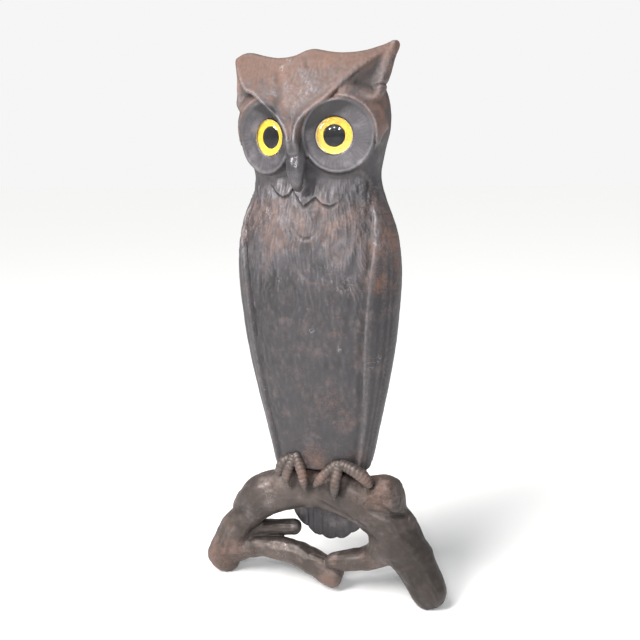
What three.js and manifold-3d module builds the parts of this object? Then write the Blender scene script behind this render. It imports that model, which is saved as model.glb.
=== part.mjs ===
// A cast-iron owl andiron front: a hollow owl perched on a forked branch, with glass eyes.
//
// The owl looks along -Y and its left side is +X.  Lengths are millimetres and +Z is up.
// The castings are laid out about the owl's own middle line, and the last lines shift the
// whole group so that the origin lies on the floor under the middle of its bounding box.

import * as THREE from 'three';
import { mergeVertices } from 'three/addons/utils/BufferGeometryUtils.js';
import Module from 'manifold-3d';

const wasm = await Module();
wasm.setup();

// ---------------------------------------------------------------- driving dimensions

const GAP = 0.3; // air between a piece and the neighbour that it was cut to fit
const WALL = 5; // thickness of the owl's iron shell

// The owl's shell: height, half width, front depth, and how square the front is.
// Its widest line lies on BODY_LINE, and the open back ends in a flat rim on BACK_RIM.
const BODY_LINE = -14;
const BACK_RIM = -4;
const BODY_BOTTOM = 97;
const BODY_TOP = 377;
const BODY_SECTIONS = [
  [97, 35, 18, 2.0],
  [124, 41, 20, 2.0],
  [152, 47, 25, 2.0],
  [182, 52.5, 30, 2.0],
  [212, 56, 33, 2.0],
  [240, 57.5, 34, 2.0],
  [268, 53.5, 32, 2.0],
  [284, 47.5, 27, 2.1],
  [300, 43.5, 23, 2.2],
  [316, 46, 23, 2.6],
  [332, 50, 23, 2.8],
  [346, 50, 21, 2.8],
  [362, 46, 17, 2.6],
  [377, 41, 13, 2.4],
];

// The brow: a forehead plate that runs from a point above the beak out to both ear tips.
const BROW_THICKNESS = 11;
const BROW_POINT = new THREE.Vector2(0, 315); // x, z of its lowest point
const BROW_FRONT = -51; // y of the plate's face at that point
const BROW_SLOPE = 0.3; // how far the face leans back for each millimetre of height
const EAR_TIP = new THREE.Vector2(57, 386);
const EAR_SWEEP = 14; // how far the ear tips bend back

// The face discs and the eyes set in them.
const FACE_TURN = THREE.MathUtils.degToRad(21.5); // each disc looks this far to its side
const DISC_RADIUS = 23.4;
const DISC_DEPTH = 9.5; // from the rim back to the seat of the eye strap
const DISC_DISH = 2.6; // hollow of the disc, from its rim to the eye socket
const EYE_CENTRE = new THREE.Vector3(23.3, -39.5, 327.4);
const DISC_OFFSET = 2.4; // the disc's middle lies this far outside the eye's middle
const SOCKET_RADIUS = 11.9;
const GLASS_RADIUS = 11.6;
const PUPIL_RADIUS = 6.7;

// The branch.  Each stroke is a list of [x, y, z, radius] along its middle line.
const BRANCH_LINE = -17;
const FLATTEN = 0.88; // the branch is a little thinner from front to back than it is high
const ARCH = [
  [-84.2, -17, -3, 5.5],
  [-84.2, -17, 2, 9.6],
  [-84, -17, 7, 12],
  [-83, -17, 13, 13],
  [-77, -17, 25, 12.6],
  [-66, -17, 45, 12.3],
  [-53, -17, 60, 14.5],
  [-36, -17, 71, 15.5],
  [-14, -17, 78, 16],
  [8, -17, 78, 16.5],
  [28, -17, 74, 17],
  [48, -17, 61, 17],
  [62, -17, 44, 16],
  [72, -17, 26, 14],
  [78, -17, 14, 13.6],
  [79.8, -17, 7, 12.4],
  [80.2, -17, 2, 10],
  [80.2, -17, -3, 6],
];
const STUB = [
  [30, -17, 80, 9],
  [42, -18, 81.5, 11],
  [52, -19, 82, 11],
  [59, -19.5, 81.5, 9.5],
];
const LOWER_LEFT = [
  [-70, -17, 19, 10],
  [-48, -17, 24, 7.5],
  [-26, -17, 23.5, 9],
  [-6, -17, 18, 10],
  [8, -18, 12.5, 8.5],
  [15, -18, 11, 5],
];
const LOWER_RIGHT = [
  [9, -16, 24, 6.5],
  [22, -16, 25, 8.5],
  [38, -17, 30, 9],
  [54, -17, 41, 10],
];
const CUT_TWIG = [
  [-62, -14, 36, 6],
  [-46, -10, 34.5, 5.5],
  [-29, -9.8, 35, 4.6],
];
const LEFT_KNOT = [
  [-70, -28, 36, 4],
  [-70, -20, 36, 8],
];

// The talons: each toe is a stroke from its foot's ankle down to the claw's point.
const TOES = [
  [[-17, -27, 104, 4.4], [-22.6, -31.5, 100.5, 4.2], [-25.6, -31.5, 95, 3.8], [-27, -29.5, 90, 2]],
  [[-15, -28, 105, 4.4], [-18.2, -34, 97.5, 3.7], [-20, -34, 90, 3.3], [-19.6, -31, 83, 1.4]],
  [[-12.5, -28, 105, 4.4], [-8, -34.5, 97, 3.7], [-6.4, -34.5, 89.5, 3.3], [-6.2, -31.5, 82, 1.4]],
  [[17, -28, 103, 4.2], [10, -34.5, 97, 3.7], [5.2, -35, 91, 3.1], [1.2, -32, 85.5, 1.4]],
  [[19, -28, 104, 4.4], [18, -34.5, 94, 3.8], [17, -34.5, 86, 3.3], [16, -31, 78, 1.4]],
  [[22, -27, 103.5, 4.4], [30, -31, 101.5, 4.6], [36.5, -30, 97, 4.6], [40, -28, 91.5, 3]],
];

// The tail plate behind the branch, and the rear leg bolted over it.
const TAIL_HALF_WIDTH = 29;
const TAIL_FRONT = -4.5;
const TAIL_THICKNESS = 5;
const TAIL_BOTTOM = 33;
const BOLT_X = 17;
const BOLT_Z = 77;
const BOLT_RADIUS = 3.9;
const BOLT_REACH = 17.5; // shank length under the washer
const BOLT_HEAD = 12; // across the flats of the square head
const BOLT_HEAD_HEIGHT = 5.4;
const WASHER_RADIUS = 8.8;
const WASHER_THICKNESS = 1.6;
const PAD_WIDTH = 54;
const PAD_HEIGHT = 21;
const PAD_THICKNESS = 6;
const REAR_FOOT = new THREE.Vector2(28, 72);
const REAR_FOOT_RADIUS = 11;

// The eye straps and their screws.
const STRAP_WIDTH = 10;
const STRAP_HALF_LENGTH = 16.4;
const STRAP_THICKNESS = 1.2;
const STRAP_SCREW_AT = 13.6; // height of each screw above or below the eye's middle
const SCREW_RADIUS = 1.4;
const SCREW_HEAD_RADIUS = 2.9;
const SCREW_HEAD_HEIGHT = 1.9;
const SCREW_REACH = 5.5;

// Where the castings' middle line lies in the finished part.
const CENTRE_X = 1.7;
const CENTRE_Y = -13;

// ---------------------------------------------------------------- geometry helpers

function solid(geometry) {
  const bare = geometry.clone();
  bare.deleteAttribute('normal');
  bare.deleteAttribute('uv');
  const merged = mergeVertices(bare, 1e-4);
  const mesh = new wasm.Mesh({
    numProp: 3,
    vertProperties: new Float32Array(merged.attributes.position.array),
    triVerts: new Uint32Array(merged.index.array),
  });
  mesh.merge();
  return new wasm.Manifold(mesh);
}

function union(first, ...others) {
  return others.reduce((whole, piece) => whole.add(piece), first);
}

function geometryOf(body) {
  const mesh = body.getMesh();
  const geometry = new THREE.BufferGeometry();
  geometry.setAttribute('position', new THREE.BufferAttribute(mesh.vertProperties, 3));
  geometry.setIndex(new THREE.BufferAttribute(mesh.triVerts, 1));
  geometry.computeVertexNormals();
  return geometry;
}

function moveVertices(geometry, place) {
  const position = geometry.attributes.position;
  const point = new THREE.Vector3();
  for (let i = 0; i < position.count; i += 1) {
    point.fromBufferAttribute(position, i);
    place(point);
    position.setXYZ(i, point.x, point.y, point.z);
  }
  return geometry;
}

// An upright cylinder with its middle at the origin and its axis along Z.
function uprightCylinder(radius, height, around = 24, rows = 1) {
  return new THREE.CylinderGeometry(radius, radius, height, around, rows).rotateX(Math.PI / 2);
}

function box(low, high) {
  const size = high.map((value, axis) => value - low[axis]);
  const middle = high.map((value, axis) => (value + low[axis]) / 2);
  return new THREE.BoxGeometry(...size).translate(...middle);
}

// A round limb along a smooth line through [x, y, z, radius] points.  `flatten` thins it
// across the first frame normal, which is -Y for a limb that lies in an upright plane.
function limb(points, around = 12, stepsPerSpan = 2, flatten = 1) {
  const line = new THREE.CatmullRomCurve3(points.map((p) => new THREE.Vector3(p[0], p[1], p[2])));
  const radii = new THREE.CubicInterpolant(points.map((p, i) => i), points.map((p) => p[3]), 1);
  const spans = points.length - 1;
  const steps = stepsPerSpan * spans;
  const frames = line.computeFrenetFrames(steps, false);
  const tube = uprightCylinder(1, 1, around, steps);
  return moveVertices(tube, (p) => {
    const i = Math.round((p.z + 0.5) * steps);
    const { x, y } = p;
    const radius = radii.evaluate(line.getUtoTmapping(i / steps) * spans)[0];
    p.copy(line.getPointAt(i / steps));
    p.addScaledVector(frames.normals[i], x * radius * flatten);
    p.addScaledVector(frames.binormals[i], y * radius);
  });
}

// ---------------------------------------------------------------- the owl casting

const sectionSizes = new THREE.CubicInterpolant(
  BODY_SECTIONS.map((s) => s[0]),
  BODY_SECTIONS.flatMap((s) => s.slice(1)),
  3,
);

function power(value, exponent) {
  return Math.sign(value) * Math.abs(value) ** exponent;
}

// The owl's solid outline, grown outwards by `grow` and with its flat back at `back`.
function owlForm(grow, back, bottom, top, around = 36, rows = 32) {
  const form = uprightCylinder(1, 1, around, rows);
  return moveVertices(form, (p) => {
    const height = THREE.MathUtils.lerp(bottom, top, p.z + 0.5);
    const [halfWidth, depth, square] = sectionSizes.evaluate(height);
    const cos = p.x;
    const sin = p.y;
    const sharp = sin < 0 ? 2 / square : 0.12;
    const reach = sin < 0 ? depth + grow : back - BODY_LINE;
    p.x = (halfWidth + grow) * power(cos, sin < 0 ? sharp : 0.3);
    p.y = BODY_LINE + reach * power(sin, sharp);
    p.z = height;
  });
}

// The forehead plate with both ears, bent back towards its ends.
function brow() {
  const shape = new THREE.Shape();
  shape.moveTo(BROW_POINT.x, BROW_POINT.y);
  shape.lineTo(7, 322);
  shape.quadraticCurveTo(10, 340, 24, 352);
  shape.quadraticCurveTo(44, 366, EAR_TIP.x, EAR_TIP.y);
  shape.quadraticCurveTo(42, 380, 24, 377);
  shape.quadraticCurveTo(10, 380, 0, 381);
  shape.quadraticCurveTo(-10, 380, -24, 377);
  shape.quadraticCurveTo(-42, 380, -EAR_TIP.x, EAR_TIP.y);
  shape.quadraticCurveTo(-44, 366, -24, 352);
  shape.quadraticCurveTo(-10, 340, -7, 322);
  shape.closePath();
  const plate = new THREE.ExtrudeGeometry(shape, {
    depth: BROW_THICKNESS,
    bevelEnabled: false,
    curveSegments: 5,
  });
  plate.rotateX(Math.PI / 2);
  return moveVertices(plate, (p) => {
    // The extrusion leaves the shape's height on Z and its thickness on -Y.
    const bend = EAR_SWEEP * (p.x / EAR_TIP.x) ** 2;
    const lean = (p.z - BROW_POINT.y) * BROW_SLOPE;
    p.y = BROW_FRONT + BROW_THICKNESS + p.y + bend + lean;
  });
}

// The outer side of an ear, which carries the head's side up to the ear tip.
function earRoot(side) {
  return limb([
    [side * 42, -21, 346, 6.5],
    [side * 47, -20, 362, 6],
    [side * 52.3, -18, 375.5, 4.2],
    [side * 55.8, -16.5, 384.3, 1.5],
  ], 10, 2);
}

// A frame that stands in an eye: its Z axis is the eye's outward axis.
function eyeFrame(side) {
  const frame = new THREE.Object3D();
  frame.position.set(side * EYE_CENTRE.x, EYE_CENTRE.y, EYE_CENTRE.z);
  frame.rotation.set(Math.PI / 2, 0, side * FACE_TURN, 'ZYX');
  frame.updateMatrixWorld(true);
  return frame;
}

// A lathe profile of [radius, height] points, turned about the Z axis.
function turned(profile, around = 28) {
  const points = profile.map(([radius, height]) => new THREE.Vector2(radius, height));
  return new THREE.LatheGeometry(points, around).rotateX(Math.PI / 2);
}

function faceDisc(side) {
  const disc = turned([
    [0, -DISC_DEPTH],
    [DISC_RADIUS - 2, -DISC_DEPTH],
    [DISC_RADIUS, -2],
    [DISC_RADIUS - 0.8, 0],
    [DISC_RADIUS - 2, 0],
    [SOCKET_RADIUS, -DISC_DISH],
    [0, -DISC_DISH],
  ], 36);
  disc.translate(side * DISC_OFFSET, 0, DISC_DISH);
  return disc.applyMatrix4(eyeFrame(side).matrixWorld);
}

function socketCut(side) {
  const bore = uprightCylinder(SOCKET_RADIUS, 40, 28);
  return bore.applyMatrix4(eyeFrame(side).matrixWorld);
}

function strapSeatCut(side) {
  const seat = uprightCylinder(18.5, 40, 28).translate(0, 0, -DISC_DEPTH - 20);
  return seat.applyMatrix4(eyeFrame(side).matrixWorld);
}

function screwCut(side, level) {
  const hole = uprightCylinder(SCREW_RADIUS + 0.15, 2 * (SCREW_REACH + 0.5), 12);
  hole.translate(0, level * STRAP_SCREW_AT, -DISC_DEPTH);
  return hole.applyMatrix4(eyeFrame(side).matrixWorld);
}

function beak() {
  return limb([
    [0, -46, 320, 5],
    [0, -51, 311, 5.6],
    [0, -51.5, 301, 4.6],
    [0, -48, 292.5, 1.6],
  ], 12, 2);
}

function bibTuft(x, z, width, height) {
  const tuft = new THREE.SphereGeometry(1, 12, 8).rotateX(Math.PI / 2);
  return tuft.scale(width, 6.5, height).translate(x, -38.5 + Math.abs(x) * 0.12, z);
}

function wingEdge(side) {
  return limb([
    [side * 41, -25, 284, 1.6],
    [side * 46, -32, 262, 3.6],
    [side * 44, -34.5, 225, 4],
    [side * 39, -33.5, 185, 3.8],
    [side * 33, -29.5, 145, 3.6],
    [side * 27, -29, 108, 2.4],
  ], 8, 2);
}

// The tail fan: a plate with five rounded feather ends, hanging behind the branch.
function tail() {
  const feathers = 5;
  const width = (2 * TAIL_HALF_WIDTH) / feathers;
  const shape = new THREE.Shape();
  shape.moveTo(-TAIL_HALF_WIDTH, BODY_BOTTOM + 8);
  shape.lineTo(-TAIL_HALF_WIDTH, TAIL_BOTTOM + 18);
  for (let i = 0; i < feathers; i += 1) {
    const start = -TAIL_HALF_WIDTH + i * width;
    const rise = (x) => 18 * (Math.abs(x) / TAIL_HALF_WIDTH) ** 2.2;
    const end = start + width;
    const middle = (start + end) / 2;
    shape.quadraticCurveTo(middle, TAIL_BOTTOM + rise(middle) - 3, end, TAIL_BOTTOM + rise(end));
  }
  shape.lineTo(TAIL_HALF_WIDTH, BODY_BOTTOM + 8);
  shape.closePath();
  const plate = new THREE.ExtrudeGeometry(shape, {
    depth: TAIL_THICKNESS,
    bevelEnabled: false,
    curveSegments: 4,
  });
  return plate.rotateX(Math.PI / 2).translate(0, TAIL_FRONT + TAIL_THICKNESS, 0);
}

// A hole for each of the two bolts that clamp rear leg, tail and branch together.
function boltCut(side, from, to) {
  const bore = uprightCylinder(BOLT_RADIUS + GAP, to - from, 20).rotateX(Math.PI / 2);
  return bore.translate(side * BOLT_X, (from + to) / 2, BOLT_Z);
}

function owlCasting() {
  const outside = solid(owlForm(0, BACK_RIM, BODY_BOTTOM, BODY_TOP));
  const hollow = solid(owlForm(-WALL, BACK_RIM + 30, BODY_BOTTOM + WALL, BODY_TOP - WALL, 28, 20));
  let body = outside.add(solid(brow()));
  for (const side of [-1, 1]) {
    body = body.add(solid(faceDisc(side)));
    body = body.add(solid(wingEdge(side)));
    body = body.add(solid(earRoot(side)));
  }
  body = body.add(solid(beak()));
  body = body.add(solid(bibTuft(0, 285, 7, 8)));
  body = body.add(solid(bibTuft(-13, 290, 8, 7)));
  body = body.add(solid(bibTuft(13, 290, 8, 7)));
  body = body.subtract(hollow);
  body = body.add(solid(tail()));
  for (const side of [-1, 1]) {
    body = body.subtract(solid(strapSeatCut(side)));
    body = body.subtract(solid(socketCut(side)));
    body = body.subtract(solid(boltCut(side, TAIL_FRONT - 1, TAIL_FRONT + TAIL_THICKNESS + 1)));
    for (const level of [-1, 1]) {
      body = body.subtract(solid(screwCut(side, level)));
    }
  }
  return geometryOf(body);
}

// ---------------------------------------------------------------- the branch casting

function branchCasting() {
  const strokes = [
    limb(ARCH, 18, 2, FLATTEN),
    limb(STUB, 14, 2),
    limb(LOWER_LEFT, 12, 2),
    limb(LOWER_RIGHT, 12, 2),
    limb(CUT_TWIG, 10, 2),
    limb(LEFT_KNOT, 10, 2),
  ];
  for (const toe of TOES) {
    strokes.push(limb(toe, 8, 2));
  }
  let branch = union(...strokes.map(solid));
  const floor = solid(box([-130, -60, -40], [130, 60, 0]));
  const seat = solid(box([-90, TAIL_FRONT - GAP, 27], [90, 60, 130]));
  const owl = solid(owlForm(GAP, BACK_RIM, BODY_BOTTOM - GAP, 130, 36, 4));
  branch = branch.subtract(floor).subtract(seat).subtract(owl);
  for (const side of [-1, 1]) {
    branch = branch.subtract(solid(boltCut(side, -20.5, 0)));
  }
  return geometryOf(branch);
}

// ---------------------------------------------------------------- the rear leg

const PAD_FRONT = TAIL_FRONT + TAIL_THICKNESS + GAP;
const PAD_BACK = PAD_FRONT + PAD_THICKNESS;

function rearLeg() {
  const pad = solid(box(
    [-PAD_WIDTH / 2, PAD_FRONT, BOLT_Z - PAD_HEIGHT / 2],
    [PAD_WIDTH / 2, PAD_BACK, BOLT_Z + PAD_HEIGHT / 2],
  ));
  const shank = solid(limb([
    [0, PAD_FRONT + 3, 80, 7],
    [2, PAD_FRONT + 14, 77, 7],
    [12, 36, 57, 6.6],
    [22, 58, 28, 6.6],
    [REAR_FOOT.x, REAR_FOOT.y, 8, 8.5],
    [REAR_FOOT.x, REAR_FOOT.y, -3, 9],
  ], 14, 3));
  const foot = solid(uprightCylinder(REAR_FOOT_RADIUS, 5, 24).translate(
    REAR_FOOT.x,
    REAR_FOOT.y,
    2.5,
  ));
  let leg = union(pad, shank, foot);
  leg = leg.subtract(solid(box([-130, -60, -40], [130, 130, 0])));
  leg = leg.subtract(solid(box([-60, -20, 40], [60, PAD_FRONT, 110])));
  for (const side of [-1, 1]) {
    leg = leg.subtract(solid(boltCut(side, PAD_FRONT - 1, PAD_BACK + 1)));
  }
  return geometryOf(leg);
}

function legBolt(side) {
  const headBottom = PAD_BACK + WASHER_THICKNESS + 0.2;
  const shank = uprightCylinder(BOLT_RADIUS, BOLT_REACH + 1, 20);
  shank.rotateX(Math.PI / 2).translate(0, headBottom - BOLT_REACH / 2 + 0.5, 0);
  const half = BOLT_HEAD / 2;
  const head = box([-half, headBottom, -half], [half, headBottom + BOLT_HEAD_HEIGHT, half]);
  head.rotateY(side * 0.35);
  const bolt = solid(shank).add(solid(head));
  return geometryOf(bolt).translate(side * BOLT_X, 0, BOLT_Z);
}

function legWasher(side) {
  const inner = BOLT_RADIUS + 0.4;
  const ring = turned([
    [inner, 0],
    [WASHER_RADIUS, 0],
    [WASHER_RADIUS, WASHER_THICKNESS],
    [inner, WASHER_THICKNESS],
    [inner, 0],
  ], 24);
  ring.rotateX(-Math.PI / 2);
  return ring.translate(side * BOLT_X, PAD_BACK + 0.1, BOLT_Z);
}

// ---------------------------------------------------------------- the eyes

const GLASS_BACK = -3.6;
const ENAMEL_FRONT = GLASS_BACK - 0.2;
const ENAMEL_BACK = ENAMEL_FRONT - 0.9;
const PACKING_FRONT = ENAMEL_BACK - 0.2;
const STRAP_FRONT = -DISC_DEPTH - GAP;
const STRAP_BACK = STRAP_FRONT - STRAP_THICKNESS;

function eyeGlass() {
  const profile = [[0, GLASS_BACK], [GLASS_RADIUS, GLASS_BACK], [GLASS_RADIUS, -1.4]];
  const steps = 5;
  for (let i = steps - 1; i >= 0; i -= 1) {
    const angle = (i / steps) * (Math.PI / 2);
    profile.push([GLASS_RADIUS * Math.sin(angle), -1.4 + 3.4 * Math.cos(angle)]);
  }
  return turned(profile, 24);
}

function iris() {
  const inner = PUPIL_RADIUS + 0.15;
  const outer = GLASS_RADIUS - 0.1;
  return turned([
    [inner, ENAMEL_BACK],
    [outer, ENAMEL_BACK],
    [outer, ENAMEL_FRONT],
    [inner, ENAMEL_FRONT],
    [inner, ENAMEL_BACK],
  ], 28);
}

function pupil() {
  const height = ENAMEL_FRONT - ENAMEL_BACK;
  return uprightCylinder(PUPIL_RADIUS, height, 24).translate(0, 0, ENAMEL_BACK + height / 2);
}

function packing() {
  const back = -DISC_DEPTH + 0.1;
  const height = PACKING_FRONT - back;
  return uprightCylinder(GLASS_RADIUS - 0.1, height, 24).translate(0, 0, back + height / 2);
}

function strap() {
  const half = STRAP_WIDTH / 2;
  const shape = new THREE.Shape();
  shape.moveTo(half, -STRAP_HALF_LENGTH + half);
  shape.lineTo(half, STRAP_HALF_LENGTH - half);
  shape.absarc(0, STRAP_HALF_LENGTH - half, half, 0, Math.PI, false);
  shape.lineTo(-half, -STRAP_HALF_LENGTH + half);
  shape.absarc(0, -STRAP_HALF_LENGTH + half, half, Math.PI, 2 * Math.PI, false);
  for (const level of [-1, 1]) {
    const hole = new THREE.Path();
    hole.absarc(0, level * STRAP_SCREW_AT, SCREW_RADIUS + 0.3, 0, 2 * Math.PI, true);
    shape.holes.push(hole);
  }
  const plate = new THREE.ExtrudeGeometry(shape, {
    depth: STRAP_THICKNESS,
    bevelEnabled: false,
    curveSegments: 5,
  });
  return plate.translate(0, 0, STRAP_BACK);
}

function strapScrew(level) {
  const seat = STRAP_BACK - 0.15;
  const screw = turned([
    [0, seat - SCREW_HEAD_HEIGHT],
    [SCREW_HEAD_RADIUS * 0.7, seat - SCREW_HEAD_HEIGHT],
    [SCREW_HEAD_RADIUS, seat - SCREW_HEAD_HEIGHT * 0.45],
    [SCREW_HEAD_RADIUS, seat],
    [SCREW_RADIUS, seat],
    [SCREW_RADIUS, seat + SCREW_REACH],
    [0, seat + SCREW_REACH],
  ], 12);
  return screw.translate(0, level * STRAP_SCREW_AT, 0);
}

// ---------------------------------------------------------------- materials

const ironLook = { color: 0x4f4a4c, roughness: 0.55, metalness: 0.6 };
const branchLook = { color: 0x5a4c46, roughness: 0.7, metalness: 0.5 };
const steelLook = { color: 0x55504d, roughness: 0.5, metalness: 0.8 };
const glassLook = { color: 0xf4f6f4, roughness: 0.05, metalness: 0, transparent: true, opacity: 0.3 };
const irisLook = { color: 0xf2c318, roughness: 0.35, metalness: 0 };
const pupilLook = { color: 0x070707, roughness: 0.2, metalness: 0 };
const packingLook = { color: 0x8f8674, roughness: 0.95, metalness: 0 };

function piece(name, geometry, look) {
  const mesh = new THREE.Mesh(geometry, new THREE.MeshStandardMaterial(look));
  mesh.name = name;
  return mesh;
}

// ---------------------------------------------------------------- assembly

const group = new THREE.Group();
group.position.set(CENTRE_X, CENTRE_Y, 0);
group.add(piece('owl_casting', owlCasting(), ironLook));
group.add(piece('branch_casting', branchCasting(), branchLook));
group.add(piece('rear_leg', rearLeg(), branchLook));

for (const [side, word] of [[1, 'left'], [-1, 'right']]) {
  group.add(piece(`leg_bolt_${word}`, legBolt(side), steelLook));
  group.add(piece(`leg_washer_${word}`, legWasher(side), steelLook));

  const eye = new THREE.Group();
  const frame = eyeFrame(side);
  eye.position.copy(frame.position);
  eye.rotation.copy(frame.rotation);
  eye.add(piece(`eye_glass_${word}`, eyeGlass(), glassLook));
  eye.add(piece(`iris_${word}`, iris(), irisLook));
  eye.add(piece(`pupil_${word}`, pupil(), pupilLook));
  eye.add(piece(`eye_packing_${word}`, packing(), packingLook));
  eye.add(piece(`eye_strap_${word}`, strap(), steelLook));
  eye.add(piece(`strap_screw_${word}_upper`, strapScrew(1), steelLook));
  eye.add(piece(`strap_screw_${word}_lower`, strapScrew(-1), steelLook));
  group.add(eye);
}

export default group;
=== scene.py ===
import math

import bpy
import numpy as np
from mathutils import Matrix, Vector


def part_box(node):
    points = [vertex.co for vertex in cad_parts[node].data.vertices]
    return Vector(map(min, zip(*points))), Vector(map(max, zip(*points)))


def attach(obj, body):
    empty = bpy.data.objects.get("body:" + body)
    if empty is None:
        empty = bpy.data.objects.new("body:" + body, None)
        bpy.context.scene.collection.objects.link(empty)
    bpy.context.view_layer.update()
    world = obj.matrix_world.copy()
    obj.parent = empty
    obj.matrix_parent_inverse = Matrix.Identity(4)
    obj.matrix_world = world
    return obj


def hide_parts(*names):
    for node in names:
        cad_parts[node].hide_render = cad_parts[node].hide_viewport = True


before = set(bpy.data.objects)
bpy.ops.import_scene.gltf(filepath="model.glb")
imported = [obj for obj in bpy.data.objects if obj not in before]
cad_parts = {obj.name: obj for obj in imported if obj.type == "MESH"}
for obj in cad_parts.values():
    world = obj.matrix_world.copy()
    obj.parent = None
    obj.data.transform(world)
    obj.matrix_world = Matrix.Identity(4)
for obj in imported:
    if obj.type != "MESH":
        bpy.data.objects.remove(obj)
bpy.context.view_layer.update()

import openvdb
from mathutils import Euler, Matrix, Vector

bl_info = {
    "name": "Owl Andiron Front",
    "version": (1, 0, 0),
    "blender": (4, 5, 0),
    "location": "3D View > Sidebar > Owl",
    "description": "Models a hollow cast-iron owl on its forked branch, with glass eyes and fixings",
    "category": "Add Mesh",
}

MM = 0.001

# The castings are modelled in millimetres about the owl's own middle line.  The CAD owl
# gives that line: the middle of its width, and the back of its tail plate.
OWL_LOW, OWL_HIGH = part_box("owl_casting")
TAIL_FRONT = -4.5
TAIL_BACK = 0.5
MIDDLE_X = (OWL_LOW.x + OWL_HIGH.x) / 2
MIDDLE_Y = OWL_HIGH.y - TAIL_BACK * MM
TO_ROW = Matrix.Translation((MIDDLE_X, MIDDLE_Y, 0)) @ Matrix.Scale(MM, 4)

# ------------------------------------------------------------------ dimensions, millimetres

GAP = 0.3
BODY_LINE = -14.0
BACK_RIM = -4.0
BODY_BOTTOM = 97.0
BODY_TOP = 377.0
BODY_HEIGHTS = [97, 124, 152, 182, 212, 240, 268, 284, 300, 316, 332, 346, 362, 377]
BODY_HALF_WIDTHS = [35, 41, 47, 52.5, 56, 57.5, 53.5, 47.5, 43.5, 46, 50, 50, 46, 41]
BODY_DEPTHS = [18, 20, 25, 30, 33, 34, 32, 27, 23, 23, 23, 21, 17, 13]
BODY_SQUARE = [2, 2, 2, 2, 2, 2, 2, 2.1, 2.2, 2.6, 2.8, 2.8, 2.6, 2.4]

BROW_LOW = 315.0
BROW_FRONT = -56.0
BROW_SLOPE = 0.37
BROW_THICKNESS = 11.0
EAR_REACH = 57.0
EAR_SWEEP = 14.0
BROW_OUTLINE = [
    (0.3, 315.6), (4.2, 317.2), (4.1, 324), (4.1, 331), (5.9, 337.4), (10.4, 342.8), (19.2, 349.5),
    (25, 355.7), (30.2, 361.2), (36, 366.8), (42.9, 372.4), (48.4, 376.8), (53, 380.2), (56.4, 382.6),
    (57, 384.6), (55.4, 385.7), (48.4, 383), (41.1, 380.6), (33.5, 379.2), (24.3, 379.1),
    (14.6, 380.5), (5.9, 382.2), (-0.2, 381.2), (-7.6, 378.6), (-18, 378), (-30.2, 380.2),
    (-41.2, 383.2), (-48, 383.8), (-53, 383), (-56.3, 380.8), (-55.6, 377.6), (-52, 371.6),
    (-47.6, 365.4), (-43.4, 359.6), (-39.4, 356.6), (-34.5, 355), (-29.4, 351.2), (-22.3, 345.6),
    (-15.4, 340.4), (-9.2, 334.8), (-5.6, 329), (-4.2, 323), (-3.9, 317.4),
]
EAR_ROOTS = {
    1: [(42, -18.5, 346, 6.5), (47, -16.8, 362, 5.2), (52.2, -16.4, 375.5, 3.8), (55.6, -16.8, 383.4, 1.9)],
    -1: [(-40, -20, 344, 6.5), (-42, -19, 358, 5.5), (-47, -18, 369, 4.4), (-52.6, -16.5, 378, 2.4)],
}

EYE_CENTRE = (23.3, -39.5, 327.4)
FACE_TURN = math.radians(21.5)
DISC_OFFSET = 2.4
DISC_RADIUS = 23.4
DISC_DEPTH = 9.5
DISC_DISH = 2.6
SOCKET_RADIUS = 11.9
SEAT_RADIUS = 18.5
GLASS_RADIUS = 11.6
PUPIL_RADIUS = 6.7
BEAK = [
    (0, -44, 321, 6.4), (0, -47.4, 313.5, 6.5), (0.2, -49.2, 306.5, 5.8), (0.4, -48.4, 300, 4.2),
    (0.6, -46.2, 295.6, 2.1),
]
BIB_PLACES = [-30, -24, -19.5, -14, -9.5, -6.6, -5.0, 1.7, 7.2, 9.4, 14.3, 19.5, 25, 30]
BIB_HEIGHTS = [
    300, 297.5, 292.4, 289.2, 290.8, 294.6, 291.6, 283.3, 287.6, 289.2, 284.8, 283.2, 286, 292,
]
WING_HEIGHTS = [97, 112, 125, 155, 202, 242, 262, 277, 288]
WING_FRONTS = [28.5, 31, 33, 36.8, 40.6, 44.6, 46.4, 44.8, 42]
EAR_WEB = [
    (22, 349.5), (34, 353), (46, 349), (51, 353), (51.4, 358), (52.6, 364.6), (54.6, 373), (57, 380),
    (57.4, 383.6), (55.6, 385), (50, 381), (40, 372), (28, 360),
]

FLATTEN = 0.88
ARCH = [
    (-83.5, -17, 11.8, 13.2), (-77, -17, 25, 12.6), (-66, -17, 45, 12.3), (-53, -17, 60, 14.5),
    (-36, -17, 71, 15.5), (-14, -17, 78, 16), (8, -17, 78, 16.5), (28, -17, 74, 17),
    (48, -17, 61, 17), (62, -17, 44, 16), (72, -17, 26, 14), (79.5, -17, 12, 13.5),
]
SHOULDER = [(-53, -18, 66.5, 9.5), (-59.5, -18, 61.5, 8.6)]
STUB = [(30, -17, 80, 9), (41, -18, 81.2, 11.2), (50, -19, 82.3, 12.6), (68, -19.5, 80, 12.2)]
STUB_CUT = ((59.6, -19, 82), (0.96, -0.1, 0.25))
LOWER_LEFT = [
    (-70, -17, 19, 10), (-48, -17, 24, 7.5), (-26, -17, 23.5, 9), (-6, -17, 18, 9.6),
    (8, -18, 12.5, 8.4), (24, -18, 6.5, 7.6),
]
LOWER_LEFT_CUT = ((15.2, -18, 11), (0.8, 0.0, -0.6))
LOWER_RIGHT = [
    (-7, -20, 21.5, 6.2), (9, -19.5, 23.4, 6.6), (22, -17.5, 25, 8.3), (38, -17, 30, 9), (54, -17, 41, 10),
]
LOWER_RIGHT_CUT = ((3.4, -20, 23), (-0.99, -0.1, -0.1))
CUT_TWIG = [(-62, -14, 36, 6), (-46, -10, 37, 5.8), (-26.5, -9.8, 40.5, 5.5)]
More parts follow.
